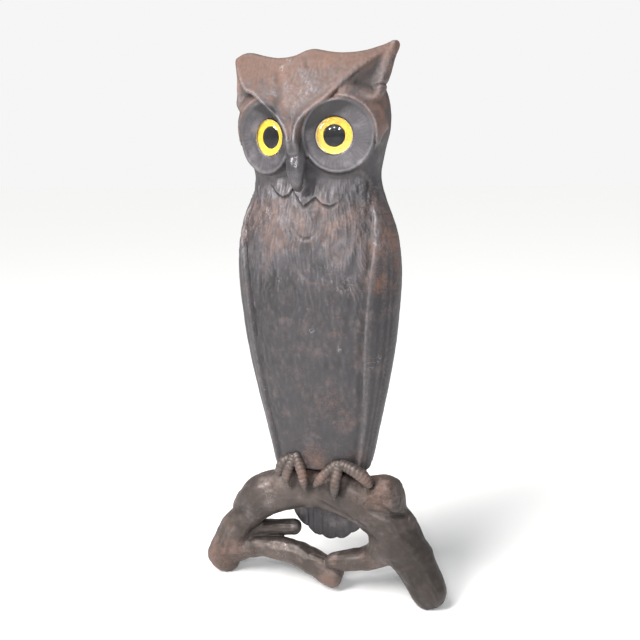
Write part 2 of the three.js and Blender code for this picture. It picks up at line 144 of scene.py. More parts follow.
KNOTS = [
    [(60, -22, 47, 10), (61, -25, 45, 7.5)],
    [(47, -20, 44, 9.5), (50, -22, 42, 8)],
    [(-50, -20, 68, 11), (-44, -22, 72, 10)],
    [(2, -17.5, 11, 7), (6, -18, 9.5, 7.2)],
]
LEFT_KNOT = [(-68.5, -22, 37, 7.6), (-68, -24.6, 37.4, 5.8)]
TOES = [
    [(-17, -30, 104, 3.8), (-22.8, -32.5, 101, 3.8), (-25.5, -32.5, 95, 3.6), (-27, -31, 91, 2.2)],
    [(-15, -32, 105, 3.6), (-18, -35, 97.5, 3.3), (-20.2, -35, 90, 3.0), (-19.6, -33.2, 83.5, 1.1)],
    [(-12.5, -32, 106, 3.6), (-8, -35.5, 97, 3.3), (-6.4, -35.2, 89.5, 3.0), (-6.2, -33.2, 82, 1.1)],
    [(16.5, -32, 103, 3.4), (10, -35.5, 97, 3.2), (5.2, -35.8, 91, 2.8), (1.2, -33.8, 86, 1.1)],
    [(19, -32, 103, 3.8), (18, -35.8, 93.5, 3.4), (17, -35.5, 86, 3.0), (16, -33.2, 78.5, 1.1)],
    [(22, -31, 103.5, 3.8), (30, -32.5, 101.5, 4.2), (36.5, -31, 97, 4.4), (40, -29, 91.5, 3.2)],
]

TAIL_HALF_WIDTH = 29.0
TAIL_BOTTOM = 33.0
BOLT_X = 17.0
BOLT_Z = 77.0
BOLT_RADIUS = 3.9
BOLT_REACH = 17.5
BOLT_HEAD = 12.0
BOLT_HEAD_HEIGHT = 5.4
BOLT_PITCH = 1.25
BOLT_HOLE_ROOM = 8
WASHER_RADIUS = 8.8
WASHER_THICKNESS = 1.6
PAD_WIDTH = 54.0
PAD_HEIGHT = 21.0
PAD_FRONT = TAIL_BACK + GAP
PAD_BACK = PAD_FRONT + 6.0
REAR_LEG = [
    (0, 3.8, 80, 7), (2, 14.8, 77, 7), (12, 36, 57, 6.6), (22, 58, 28, 6.6), (28, 72, 8, 8.5),
    (28, 72, -3, 9),
]
REAR_FOOT = (28.0, 72.0)
REAR_FOOT_RADIUS = 11.0

STRAP_HALF_LENGTH = 16.4
STRAP_HALF_WIDTH = 5.0
STRAP_THICKNESS = 1.2
STRAP_SCREW_AT = 13.6
SCREW_RADIUS = 1.4
SCREW_HEAD_RADIUS = 2.9
SCREW_HEAD_HEIGHT = 1.9
SCREW_REACH = 5.5
SCREW_PITCH = 0.7
SCREW_SLOT_HALF_WIDTH = 0.42
GLASS_BACK = -3.6
GLASS_EDGE = -1.4
GLASS_RISE = 3.4
ENAMEL_FRONT = GLASS_BACK - 0.2
ENAMEL_BACK = ENAMEL_FRONT - 0.9
PACKING_FRONT = ENAMEL_BACK - 0.2
GLASS_STEPS = 96
PACKING_STEPS = 64
STRAP_FRONT = -DISC_DEPTH - GAP
STRAP_BACK = STRAP_FRONT - STRAP_THICKNESS

# ------------------------------------------------------------------ what a user may change


def length(label, words, size, most):
    return bpy.props.FloatProperty(
        name=label, description=words, default=size * MM, min=0.0, max=most * MM,
        precision=5, unit="LENGTH",
    )


def colour(label, words, value):
    return bpy.props.FloatVectorProperty(
        name=label, description=words, default=value, size=3, min=0.0, max=1.0, subtype="COLOR",
    )


class OwlSizes(bpy.types.PropertyGroup):
    """Depths of the modelling on the castings."""

    grid: length("Modelling grid", "Spacing of the grid the castings are modelled on", 0.6, 3)
    wall: length("Shell wall", "Thickness of the owl's iron shell", 5, 8)
    wing_step: length("Wing step", "How far the folded wings stand above the breast", 1.3, 4)
    plumage: length("Breast plumage", "Depth of the hair-like strokes on the breast", 0.34, 2)
    quill: length("Wing quills", "Depth of the grooves between the long wing feathers", 0.22, 2)
    bark: length("Bark", "Depth of the grain along the branch", 0.32, 2)
    toe_ring: length("Toe scales", "Depth of the rings across the toes", 0.45, 2)


class OwlColours(bpy.types.PropertyGroup):
    """Colours of the finishes."""

    iron: colour("Iron", "Dark patina of the owl casting", (0.092, 0.086, 0.093))
    worn: colour("Worn iron", "Rubbed high spots of the patina", (0.33, 0.31, 0.325))
    # Also the colour of painted shade: deepened creases, the shadow under the eye hoods and the ear
    # hollows.
    soot_and_painted_shade: colour("Soot", "Dirt in the hollows", (0.032, 0.03, 0.03))
    rust: colour("Rust bloom", "Light rust on the upper surfaces", (0.15, 0.081, 0.057))
    deep_rust: colour("Deep rust", "Darker rust in patches", (0.17, 0.075, 0.045))
    branch: colour("Branch iron", "Brown patina of the branch casting", (0.086, 0.068, 0.06))
    steel: colour("Fixings", "Darkened steel of bolts, straps and screws", (0.16, 0.145, 0.135))
    iris: colour("Iris", "Yellow enamel behind the glass", (0.48, 0.3, 0.006))
    pupil: colour("Pupil", "Black enamel behind the glass", (0.004, 0.004, 0.005))
    felt: colour("Felt", "Packing behind the eyes", (0.27, 0.235, 0.18))
    floor: colour("Floor", "Studio floor", (0.93, 0.93, 0.925))


# ------------------------------------------------------------------ modelling in a grid


def follow(keys, values, at):
    """A smooth line through the values at the keys, read at `at`."""
    keys = np.asarray(keys, np.float32)
    values = np.asarray(values, np.float32)
    slopes = np.gradient(values, keys)
    at = np.clip(at, keys[0], keys[-1])
    i = np.clip(np.searchsorted(keys, at) - 1, 0, len(keys) - 2)
    gap = keys[i + 1] - keys[i]
    t = (at - keys[i]) / gap
    rise = values[i + 1] - values[i]
    start, end = slopes[i] * gap, slopes[i + 1] * gap
    return values[i] + t * start + t * t * (3 * rise - 2 * start - end) + t ** 3 * (start + end - 2 * rise)


def ease(low, high, value):
    """0 below low, 1 above high, and a smooth rise between."""
    t = np.clip((value - low) / (high - low), 0.0, 1.0)
    return t * t * (3.0 - 2.0 * t)


def mound(distance, width):
    return np.exp(-((distance / width) ** 2))


def blended_least(a, b, blend):
    """The lesser of two distances, with the corner between them filled over `blend`."""
    if blend <= 0:
        return np.minimum(a, b)
    share = np.clip(0.5 + 0.5 * (b - a) / blend, 0.0, 1.0)
    return b + (a - b) * share - blend * share * (1.0 - share)


def blended_most(a, b, blend):
    return -blended_least(-a, -b, blend)


def between(a, b, c, d, t):
    """The smooth line from b to c at shares t of the way, with a before them and d after."""
    bend = 2 * a - 5 * b + 4 * c - d
    twist = 3 * b - a - 3 * c + d
    return 0.5 * (2 * b + (c - a) * t + bend * t ** 2 + twist * t ** 3)


def stroke(points, steps):
    """Rows of x, y, z and radius along a smooth line through the given rows."""
    rows = np.array(points, float)
    rows = np.vstack([2 * rows[0] - rows[1], rows, 2 * rows[-1] - rows[-2]])
    t = np.linspace(0, 1, steps, endpoint=False)[:, None]
    spans = [between(a, b, c, d, t) for a, b, c, d in zip(rows, rows[1:], rows[2:], rows[3:])]
    return np.vstack([*spans, rows[-2:-1]])


def closed_line(points, steps):
    """A smooth closed line through 2-D points."""
    rows = np.array(points, float)
    t = np.linspace(0, 1, steps, endpoint=False)[:, None]
    spans = []
    for i in range(len(rows)):
        a, b, c, d = (rows[(i + k) % len(rows)] for k in (-1, 0, 1, 2))
        spans.append(between(a, b, c, d, t))
    return np.vstack(spans)


def outline_distance(outline, x, z):
    """Distance from each (x, z) to a closed outline, negative inside."""
    nearest = np.full(np.broadcast(x, z).shape, 1e9, np.float32)
    inside = np.zeros(nearest.shape, bool)
    for (ax, az), (bx, bz) in zip(outline, np.roll(outline, -1, axis=0)):
        dx, dz = bx - ax, bz - az
        t = np.clip(((x - ax) * dx + (z - az) * dz) / max(dx * dx + dz * dz, 1e-9), 0.0, 1.0)
        nearest = np.minimum(nearest, (x - ax - t * dx) ** 2 + (z - az - t * dz) ** 2)
        crosses = (az > z) != (bz > z)
        if abs(dz) > 1e-9:
            inside ^= crosses & (x < ax + (z - az) * dx / dz)
    nearest = np.sqrt(nearest)
    return np.where(inside, -nearest, nearest)


class Grain:
    """Smooth random values in space from -1 to 1, the same on every run."""

    CELLS = 32

    def __init__(self, seed):
        generator = np.random.default_rng(seed)
        self.values = generator.random(self.CELLS ** 3, np.float32) * 2 - 1

    def at(self, x, y, z):
        x, y, z = np.broadcast_arrays(x, y, z)
        cells, shares = [], []
        for axis in (x, y, z):
            floor = np.floor(axis)
            share = (axis - floor).astype(np.float32)
            cells.append(floor.astype(np.int64) % self.CELLS)
            shares.append(share * share * (3 - 2 * share))
        total = 0
        for corner in range(8):
            weight, index = 1, 0
            for axis in range(3):
                step = corner >> axis & 1
                weight = weight * (shares[axis] if step else 1 - shares[axis])
                index = index * self.CELLS + (cells[axis] + step) % self.CELLS
            total = total + weight * self.values[index]
        return total


GRAIN = Grain(7)
FINE_GRAIN = Grain(19)


class Clay:
    """A block of metal being modelled: distances on a grid, negative inside, in millimetres."""

    FAR = 30.0

    def __init__(self, low, high, step):
        self.step = step
        first = np.floor(np.array(low) / step).astype(int)
        count = np.ceil(np.array(high) / step).astype(int) - first + 1
        self.low = first * step
        self.axes = [(np.arange(count[i]) * step + self.low[i]).astype(np.float32) for i in range(3)]
        self.field = np.full(count, self.FAR, np.float32)

    def part(self, low, high):
        """The grid points within a box, as slices and as X, Y and Z arrays that broadcast."""
        cut = []
        for axis in range(3):
            line = self.axes[axis]
            first, last = np.searchsorted(line, (low[axis], high[axis]))
            cut.append(slice(max(first - 1, 0), min(last + 1, len(line))))
        grids = np.meshgrid(*(self.axes[i][cut[i]] for i in range(3)), indexing="ij", sparse=True)
        return tuple(cut), grids

    def whole(self):
        return [axis[0] for axis in self.axes], [axis[-1] for axis in self.axes]

    def join(self, form, low=None, high=None, blend=0.0):
        low, high = (low, high) if low is not None else self.whole()
        cut, grids = self.part(low, high)
        self.field[cut] = blended_least(self.field[cut], form(*grids), blend)

    def carve(self, form, low=None, high=None, blend=0.0):
        low, high = (low, high) if low is not None else self.whole()
        cut, grids = self.part(low, high)
        self.field[cut] = blended_most(self.field[cut], -form(*grids), blend)

    def limb(self, points, steps=4, flatten=1.0, blend=0.0, cut_at=None):
        """Joins a round limb along a smooth line, thinned from front to back by `flatten`,
        and sawn off beyond the point and direction in `cut_at`."""
        rows = stroke(points, steps)
        reach = rows[:, 3].max() + 4 * self.step + blend
        cut, (x, y, z) = self.part(rows[:, :3].min(0) - reach, rows[:, :3].max(0) + reach)
        block = Clay.__new__(Clay)
        block.step, block.low = self.step, np.array([x.flat[0], y.flat[0], z.flat[0]])
        block.axes = [x.ravel(), y.ravel(), z.ravel()]
        block.field = np.full((x.size, y.size, z.size), self.FAR, np.float32)
        for start, end in zip(rows, rows[1:]):
            across = max(start[3], end[3]) + blend + 6 * self.step
            low = np.minimum(start[:3], end[:3]) - across
            high = np.maximum(start[:3], end[:3]) + across
            block.join(lambda px, py, pz: tapered_rod(px, py, pz, start, end, flatten), low, high)
        if cut_at:
            point, way = cut_at
            beyond = (x - point[0]) * way[0] + (y - point[1]) * way[1] + (z - point[2]) * way[2]
            block.field = blended_most(block.field, beyond, 6.0)
        self.field[cut] = blended_least(self.field[cut], block.field, blend)

    def relief(self, height, reach, within=None):
        """Raises the surface by height(x, y, z), for points nearer than `reach` to it."""
        low, high = within or self.whole()
        cut, grids = self.part(low, high)
        field = self.field[cut]
        near = np.abs(field) < reach
        x, y, z = (np.broadcast_to(g, field.shape)[near] for g in grids)
        field[near] -= height(x, y, z).astype(np.float32)
        self.field[cut] = field

    def softened(self, radius):
        """The field averaged over a cube, for telling edges from hollows."""
        size = max(1, int(round(radius / self.step)))
        field = self.field
        for axis in range(3):
            total = np.cumsum(field, axis=axis, dtype=np.float64)
            count = field.shape[axis]
            high = np.minimum(np.arange(count) + size, count - 1)
            low = np.arange(count) - size - 1
            upper = np.take(total, high, axis=axis)
            lower = np.take(total, np.maximum(low, 0), axis=axis)
            shape = [1, 1, 1]
            shape[axis] = count
            keep = (low >= 0).reshape(shape)
            spread = (high - np.maximum(low, -1)).reshape(shape)
            field = ((upper - lower * keep) / spread).astype(np.float32)
        return field

    def read(self, field, points):
        """Values of a field at points, between the grid's own points."""
        at = (points - self.low) / self.step
        first = np.clip(np.floor(at).astype(int), 0, np.array(field.shape) - 2)
        share = at - first
        total = 0
        for corner in range(8):
            step = [corner >> 2 & 1, corner >> 1 & 1, corner & 1]
            weight = np.prod([share[:, i] if step[i] else 1 - share[:, i] for i in range(3)], axis=0)
            i, j, k = (first + step).T
            total = total + weight * field[i, j, k]
        return total

    def skin(self):
        """The surface's points, its faces with three corners, and its faces with four."""
        grid = openvdb.FloatGrid(3.0)
        grid.copyFromArray(np.clip(self.field / self.step, -3, 3))
        points, triangles, quads = grid.convertToPolygons(isovalue=0.0, adaptivity=0.0)
        return points * self.step + self.low, triangles, quads


def tapered_rod(x, y, z, start, end, flatten):
    """Distance to a rod between two [x, y, z, radius] rows."""
    run = end[:3] - start[:3]
    squash = np.array([1.0, 1.0 / flatten, 1.0])
    run = run * squash
    px, py, pz = x - start[0], (y - start[1]) / flatten, z - start[2]
    t = np.clip((px * run[0] + py * run[1] + pz * run[2]) / max(run @ run, 1e-9), 0.0, 1.0)
    off = np.sqrt((px - t * run[0]) ** 2 + (py - t * run[1]) ** 2 + (pz - t * run[2]) ** 2)
    return off - (start[3] + (end[3] - start[3]) * t)


def rounded_box(x, y, z, low, high, radius):
    middle = [(a + b) / 2 for a, b in zip(low, high)]
    half = [(b - a) / 2 - radius for a, b in zip(low, high)]
    out = [np.abs(p - m) - h for p, m, h in zip((x, y, z), middle, half)]
    beyond = np.sqrt(sum(np.maximum(o, 0) ** 2 for o in out))
    return beyond + np.minimum(np.maximum(np.maximum(out[0], out[1]), out[2]), 0) - radius


def rounded_drum(radial, height, radius, low, high, edge):
    """A drum about an axis, from the distance to the axis and the height along it."""
    a = radial - radius + edge
    b = np.abs(height - (low + high) / 2) - (high - low) / 2 + edge
    return np.sqrt(np.maximum(a, 0) ** 2 + np.maximum(b, 0) ** 2) + np.minimum(np.maximum(a, b), 0) - edge


# ------------------------------------------------------------------ making pieces


def new_piece(name, points, triangles, quads, place):
    """A smooth-shaded mesh object from grid faces, moved by `place`."""
    moved = points @ np.array(place.to_3x3()).T + np.array(place.translation)
    mesh = bpy.data.meshes.new(name)
    mesh.vertices.add(len(moved))
    mesh.vertices.foreach_set("co", moved.astype(np.float32).ravel())
    corners = np.concatenate([quads[:, ::-1].ravel(), triangles[:, ::-1].ravel()]).astype(np.int32)
    sizes = np.concatenate([np.full(len(quads), 4), np.full(len(triangles), 3)])
    mesh.loops.add(len(corners))
    mesh.loops.foreach_set("vertex_index", corners)
    mesh.polygons.add(len(sizes))
    mesh.polygons.foreach_set("loop_start", (np.cumsum(sizes) - sizes).astype(np.int32))
    mesh.update(calc_edges=True)
    mesh.validate()
    mesh.shade_smooth()
    piece = bpy.data.objects.new(name, mesh)
    bpy.context.scene.collection.objects.link(piece)
    return piece


# Of these, the second is dirt in creases plus painted shade, and the fifth is the iron's own tone plus
# painted shade.
FINISH_VALUES = ("worn", "hollow", "rusted", "plumed", "dark", "polished")


def cast(name, clay, place=TO_ROW):
    points, triangles, quads = clay.skin()
    return new_piece(name, points, triangles, quads, place), points


def keep_finish(piece, **values):
    """Shares from 0 to 1 at each point that the iron's finish reads, 0 where none is given."""
    count = len(piece.data.vertices)
    for name in FINISH_VALUES:
        shares = np.clip(values.get(name, 0.0), 0, 1).astype(np.float32)
        attribute = piece.data.attributes.new(name, "FLOAT", "POINT")
        attribute.data.foreach_set("value", np.broadcast_to(shares, count).copy())


def hand_over(piece, node, material):
    """The piece stands for its CAD node, rides with it and takes its finish."""
    piece.data.materials.append(material)
    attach(piece, "root")
    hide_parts(node)


def eye_place(side):
    """Where an eye's own frame stands: its Z axis looks out of the face."""
    turn = Euler((math.pi / 2, 0, side * FACE_TURN), "XYZ").to_matrix().to_4x4()
    middle = Matrix.Translation((side * EYE_CENTRE[0], EYE_CENTRE[1], EYE_CENTRE[2]))
    return TO_ROW @ middle @ turn


def eye_coordinates(side, x, y, z):
    """Sideways, upward and outward distance from the eye's middle."""
    px, py = x - side * EYE_CENTRE[0], y - EYE_CENTRE[1]
    sine, cosine = side * math.sin(FACE_TURN), math.cos(FACE_TURN)
    return px * cosine + py * sine, z - EYE_CENTRE[2], px * sine - py * cosine


def disc_coordinates(side, x, y, z):
    """The same about the middle of the disc round the eye, and the distance from its axis."""
    across, up, out = eye_coordinates(side, x, y, z)
    across = across - side * DISC_OFFSET
    return across, up, out, np.sqrt(across ** 2 + up ** 2)


# ------------------------------------------------------------------ the owl's outside


def body_sections(z):
    return (
        follow(BODY_HEIGHTS, BODY_HALF_WIDTHS, z),
        follow(BODY_HEIGHTS, BODY_DEPTHS, z),
        follow(BODY_HEIGHTS, BODY_SQUARE, z),
    )


def body_form(x, y, z, grow=0.0, bottom=BODY_BOTTOM, top=BODY_TOP, edge=3.0):
    """Distance to the owl's plain body, open towards the back."""
    half, depth, square = body_sections(z)
    half, depth = half + grow, depth + grow
    across = np.abs(x) / half
    forward = np.maximum(BODY_LINE - y, 0.0) / depth
    power_sum = across ** square + forward ** square + 1e-9
    rho = power_sum ** (1.0 / square)
    slope_x = across ** (square - 1) / half
    slope_y = forward ** (square - 1) / depth
    slope = np.sqrt(slope_x ** 2 + slope_y ** 2) * rho ** (1 - square)
    shell = (rho - 1.0) / np.maximum(slope, 1e-3)
    return blended_most(shell, np.maximum(bottom - z, z - top), edge)


def brow_face(x, z):
    return BROW_FRONT + BROW_SLOPE * (z - BROW_LOW) + EAR_SWEEP * (x / EAR_REACH) ** 2


def brow_form(x, y, z):
    """The forehead plate with both ears, with a rolled lower rim and a shallow dish."""
    outline = closed_line(BROW_OUTLINE, 4)
    around = outline_distance(outline, x[:, 0, :], z[0, 0, :][None, :])[:, None, :]
    rim_line = 336 + 0.62 * np.abs(x)
    rim = ease(10, -4, z - rim_line) * (mound(around + 1.9, 1.5) + 3.4 * mound(around + 2.0, 9.0))
    rim = rim * ease(317, 326, z)
    dish = 0.9 * ease(-2.5, -9.0, around) * ease(384, 356, z)
    crown = 2.2 * ease(366, 381, z) ** 2
    front = brow_face(x, z) - rim + dish + crown
    thick = BROW_THICKNESS - 6.0 * ease(44, 57, np.abs(x))
    plate = np.maximum(front - y, y - front - thick) * 0.94
    return blended_most(plate, around, 2.6)


def disc_form(side, x, y, z):
    across, up, out, radial = disc_coordinates(side, x, y, z)
    dish = DISC_DISH * (ease(9.5, 21.8, radial) - 0.9)
    lip = 0.55 * mound(radial - 22.2, 1.0)
    return blended_most(radial - DISC_RADIUS, np.maximum(out - dish - lip, -DISC_DEPTH - out), 1.4)


def hood_form(side, x, y, z):
    """The crescent over a disc's upper edge: steep towards the disc, sloping away behind."""
    across, up, out, radial = disc_coordinates(side, x, y, z)
    angle = np.degrees(np.arctan2(up, across * side))
    rise = 4.6 * ease(-38, 36, angle) * ease(104, 78, angle)
    steep = 0.8 + 3.2 * ease(3.5, 0.2, rise)
    crest = rise - 1.6 - 7.0 * ease(1.6, 0.2, rise)
    slope = (out - crest + steep * np.abs(radial - 24.6)) * 0.78
    ends = np.maximum(-7.5 - out, radial - 33)
    return blended_most(slope, np.maximum(23.5 - radial, ends), 1.6)


def web_form(side, x, y, z):
    """The sheet of iron behind the brow's edge that fills the outer side of an ear."""
    outline = closed_line([(side * px, pz) for px, pz in EAR_WEB], 3)
    drop = 3.5 if side < 0 else 0.0
    around = outline_distance(outline, x[:, 0, :], z[0, 0, :][None, :] + drop)[:, None, :]
    front = brow_face(x, z) + 6.2 - 3.4 * ease(-9, -0.5, around)
    sheet = np.maximum(front - y, y - front - 7) * 0.92
    return blended_most(sheet, around, 2.2)


def bib_edge(x):
    """Height of the bib's scalloped lower edge."""
    return np.interp(x, BIB_PLACES, BIB_HEIGHTS)


def wing_front(z):
    """How far from the middle each wing's front edge lies."""
    return follow(WING_HEIGHTS, WING_FRONTS, z)


def owl_relief(sizes):
    """The plumage: a function for the height of the outside at each point."""
    plumage, quill, wing_step = sizes.plumage / MM, sizes.quill / MM, sizes.wing_step / MM

    def height(x, y, z):
        half = follow(BODY_HEIGHTS, BODY_HALF_WIDTHS, z)
        side_on = np.clip(np.abs(x) / half, 0, 1)
        turn = np.arcsin(side_on * 0.999) * half * np.sign(x)
        front = ease(-8, -13, y)
        wander = GRAIN.at(turn / 11, 0.3, z / 17)
        ripple = GRAIN.at(turn / 4.5 + 9.1, 3.7, z / 8)
        # Breast: hair-like strokes that wander, in overlapping rows.
        on_body = ease(303, 296, z) * front
        inward = wing_front(z) - np.abs(x)
        on_wing = ease(1.6, -1.8, inward) * on_body * ease(292, 276, z)
        breast = on_body * (1 - on_wing) * ease(112, 150, z)
        sway = 3.0 * wander + 2.0 * ripple
        phase = (turn + 0.0022 * turn * np.abs(turn) * (z - 250) / 10 + sway) / 2.7
        strokes = 1 - np.abs((phase - np.floor(phase)) * 2 - 1) ** 1.4
        breaks = ease(-0.35, 0.4, GRAIN.at(turn / 2.8 + 0.4 * phase, 8.2, z / 4.6))
        locks = GRAIN.at(turn / 5.5 + 0.8 * wander, 2.9, z / 11 + 0.5 * ripple)
        chest = ease(188, 240, z)
        result = breast * plumage * (strokes * breaks - 0.35) * (0.22 + 0.78 * chest)
        result += breast * 0.65 * locks * (0.4 + 0.6 * chest)
        result += breast * 0.4 * FINE_GRAIN.at(turn / 3.2, 4.4, z / 4.8)
        # Belly: broad soft flutes and lumps below the breast.
        belly = breast * ease(236, 196, z)
        result += belly * 0.14 * np.cos(turn / 2.2 + 2.4 * wander) * (0.5 + 0.5 * ripple)
        # Wings: one step up from the breast, long feathers that fan down towards the tail.
        lip = mound(inward + 2.6, 2.4)
        groove = mound(inward - 1.6, 2.0)
        fall = ease(62, 12, -inward)
        wing_edge = on_body * ease(290, 274, z) * (0.85 * lip - 0.22 * groove)
        result += on_wing * wing_step * (0.45 + 0.55 * fall) + wing_edge
        blade = (np.abs(turn) - wing_front(z)) / (2.1 + (half * 1.5708 - wing_front(z)) / 6.2)
        long_feathers = ease(262, 240, z)
        line = mound((blade - np.round(blade)) * 4.5, 1.0)
        result -= on_wing * quill * line * long_feathers * ease(0.2, 0.6, blade)
        barbs = np.abs(((turn * 0.9 + z * 0.42 + 1.2 * ripple) / 1.9) % 1.0 - 0.5)
        result += on_wing * 0.16 * (barbs - 0.25) * long_feathers
        # Shoulder: small overlapping scales above the long feathers.
        scale_row = z / 7.5
        scale_column = turn / 8.0 + 0.5 * (np.floor(scale_row) % 2)
        scale_arc = 1 - (2 * (scale_column - np.floor(scale_column)) - 1) ** 2
        drop = (scale_row - np.floor(scale_row)) - 0.42 * scale_arc
        scales = ease(-0.42, 0.1, drop) * ease(0.62, 0.1, drop)
        result += on_wing * 0.38 * scales * (1 - long_feathers)
        # Bib: scalloped tufts below the beak that stand above the breast.
        over = z - bib_edge(x)
        beside = ease(27, 19, np.abs(x)) * front * ease(313, 300, z)
        result += 1.4 * beside * ease(-0.5, 0.6, over) * ease(13, 2, over)
        result -= 0.5 * beside * mound(over + 1.2, 0.9)
        # A small crescent dent in the middle of the breast.
        dent_x, dent_z = x - 4.5, z - 262.5 - 0.09 * (x - 4.5) ** 2
        result -= 0.7 * front * mound(dent_x, 5.0) * mound(dent_z, 1.2)
        result += 0.35 * front * mound(dent_x, 5.5) * mound(dent_z + 2.2, 1.6)
        # Cast lumps everywhere.
        lumps = GRAIN.at(x / 9, y / 9, z / 9) + 0.5 * FINE_GRAIN.at(x / 4, y / 4, z / 4)
        pits = FINE_GRAIN.at(x / 1.7, y / 1.7, z / 1.7)
        return result + 0.16 * lumps + 0.05 * pits

    return height


def head_relief(x, y, z):
    """Radial lines on the discs, brush marks on the forehead and a crease at each ear."""
    result = 0.0
    for side in (-1, 1):
        across, up, out, radial = disc_coordinates(side, x, y, z)
        angle = np.arctan2(up, across)
        on_disc = ease(21.5, 20, radial) * ease(12.4, 14, radial) * ease(-3, -1.5, out)
        wander = GRAIN.at(angle * 6, radial / 7, 5.5)
        result = result + on_disc * 0.05 * np.cos(angle * 52 + 3.0 * wander)
    face = ease(3, 0.5, y - brow_face(x, z)) * ease(318, 330, z)
    wander = GRAIN.at(x / 7 + 4.4, 1.1, z / 12)
    brushed = np.cos((x + 2.4 * wander) * 2.3)
    result = result + face * ease(344, 372, z) * 0.07 * brushed * (0.5 + 0.5 * GRAIN.at(x / 5, 6.1, z / 6))
    result = result + face * 0.13 * FINE_GRAIN.at(x / 1.5, y / 1.5, z / 1.5)
    crease = mound((z - 358.5) - 0.25 * (x - 50), 0.9) * ease(43, 48, x) * ease(-6, -16, y)
    result = result - 0.9 * crease
    streak = mound(x + 15.5 + 0.22 * (z - 352), 2.6) * ease(338, 350, z) * ease(374, 362, z)
    result = result - face * 0.75 * streak
    result = result + (
        face * 0.6 * mound(x + 9.0 + 0.2 * (z - 352), 3.2) * ease(336, 350, z) * ease(376, 364, z)
    )
    tuft = mound(x - 1.0 + 0.45 * (z - 376), 1.5) * ease(366, 371, z)
    return result - face * 0.7 * tuft


def model_owl_outside(clay, sizes):
    """Adds the owl's outside, still solid, to a clay block."""
    clay.join(body_form)
    top = clay.axes[2][-1]
    if top > BROW_LOW:
        head_low, head_high = (-62, -58, 280), (62, BACK_RIM, 392)
        for side in (-1, 1):
            hollow = (side * 39, 361)
            clay.relief(
                lambda x, y, z: -1.2 * mound(
                    np.sqrt((x - hollow[0]) ** 2 + ((z - hollow[1]) * 0.9) ** 2), 9.5,
                ),
                5.0, ((-60, -50, 335), (60, BACK_RIM, 385)),
            )
            clay.join(lambda x, y, z: disc_form(side, x, y, z), head_low, head_high, 4.5)
            clay.join(lambda x, y, z: hood_form(side, x, y, z), head_low, head_high, 3.0)
            clay.limb(EAR_ROOTS[side], 5, 1.0, 3.0)
            clay.join(lambda x, y, z: web_form(side, x, y, z), head_low, head_high, 3.0)
        clay.limb(BEAK, 5, 1.0, 2.0)
        clay.join(brow_form, (-62, -58, 308), (62, -5, 392), 1.4)
        clay.relief(head_relief, 2.2, ((-60, -58, 300), (60, -12, 390)))
    clay.relief(owl_relief(sizes), 3.6, ((-64, -60, BODY_BOTTOM - 3), (64, BACK_RIM, 392)))


# ------------------------------------------------------------------ the owl casting


def tail_form(x, y, z):
    feathers = 5
    width = 2 * TAIL_HALF_WIDTH / feathers
    place = (x + TAIL_HALF_WIDTH) / width
    within = place - np.floor(place)
    rise = 18 * (np.abs(x) / TAIL_HALF_WIDTH) ** 2.2
    tips = TAIL_BOTTOM + rise - 1.2 + 1.5 * (2 * within - 1) ** 2
    outline = np.maximum(np.abs(x) - TAIL_HALF_WIDTH, np.maximum(tips - z, z - (BODY_BOTTOM + 8)))
    shaft = 0.35 * mound((within - 0.5) * width, 0.7)
    valley = 0.55 * mound((within - np.round(within)) * width, 0.8)
    barbs = 0.14 * np.cos((z + 1.5 * np.abs(within - 0.5) * width) * 2.6)
    front = TAIL_FRONT + (valley - shaft + barbs) * ease(76, 62, z)
    plate = np.maximum(front - y, y - TAIL_BACK)
    return blended_most(plate, outline, 1.2)


def bore_for_bolts(clay, front, back, end=-1000.0):
    """Bores both bolt holes between `front` and `back`, no further forward than `end`."""
    for side in (-1, 1):
        low = (side * BOLT_X - BOLT_HOLE_ROOM, front, BOLT_Z - BOLT_HOLE_ROOM)
        high = (side * BOLT_X + BOLT_HOLE_ROOM, back, BOLT_Z + BOLT_HOLE_ROOM)

        def hole(x, y, z):
            radial = np.sqrt((x - side * BOLT_X) ** 2 + (z - BOLT_Z) ** 2)
            return np.maximum(radial - (BOLT_RADIUS + GAP), end - y)

        clay.carve(hole, low, high, 0.4)


def above_floor(x, y, z):
    return z + 0 * x + 0 * y


def model_owl(sizes):
    clay = Clay((-62, -58, 28), (62, 3, 391), sizes.grid / MM)
    model_owl_outside(clay, sizes)
    edges = clay.softened(1.5) - clay.field
    shapes = clay.softened(4.5) - clay.field
    wall = sizes.wall / MM
    inside = (-wall, BODY_BOTTOM + wall, BODY_TOP - wall, 4.0)
    clay.carve(lambda x, y, z: body_form(x, y, z, *inside), blend=1.0)
    clay.carve(lambda x, y, z: BACK_RIM - y + 0 * x + 0 * z, blend=0.9)
    clay.join(tail_form, (-33, -8, 28), (33, 3, 108), 0.8)
    for side in (-1, 1):
        def seat(x, y, z):
            across, up, out = eye_coordinates(side, x, y, z)
            radial = np.sqrt(across ** 2 + up ** 2)
            return rounded_drum(radial, out, SEAT_RADIUS, -DISC_DEPTH - 40, -DISC_DEPTH, 0.6)

        def bore(x, y, z):
            across, up = eye_coordinates(side, x, y, z)[:2]
            return np.sqrt(across ** 2 + up ** 2) - SOCKET_RADIUS

        def screw_holes(x, y, z):
            across, up, out = eye_coordinates(side, x, y, z)
            radial = np.sqrt(across ** 2 + (np.abs(up) - STRAP_SCREW_AT) ** 2)
            return np.maximum(radial - SCREW_RADIUS - 0.15, out + DISC_DEPTH - SCREW_REACH - 0.5)

        eye_low = (min(0, side * 62), -58, 300)
        eye_high = (max(0, side * 62), 3, 355)
        clay.carve(seat, eye_low, eye_high)
        clay.carve(bore, eye_low, eye_high, 0.7)
        clay.carve(screw_holes, eye_low, eye_high)
    bore_for_bolts(clay, -8, 3)
    return clay, edges, shapes


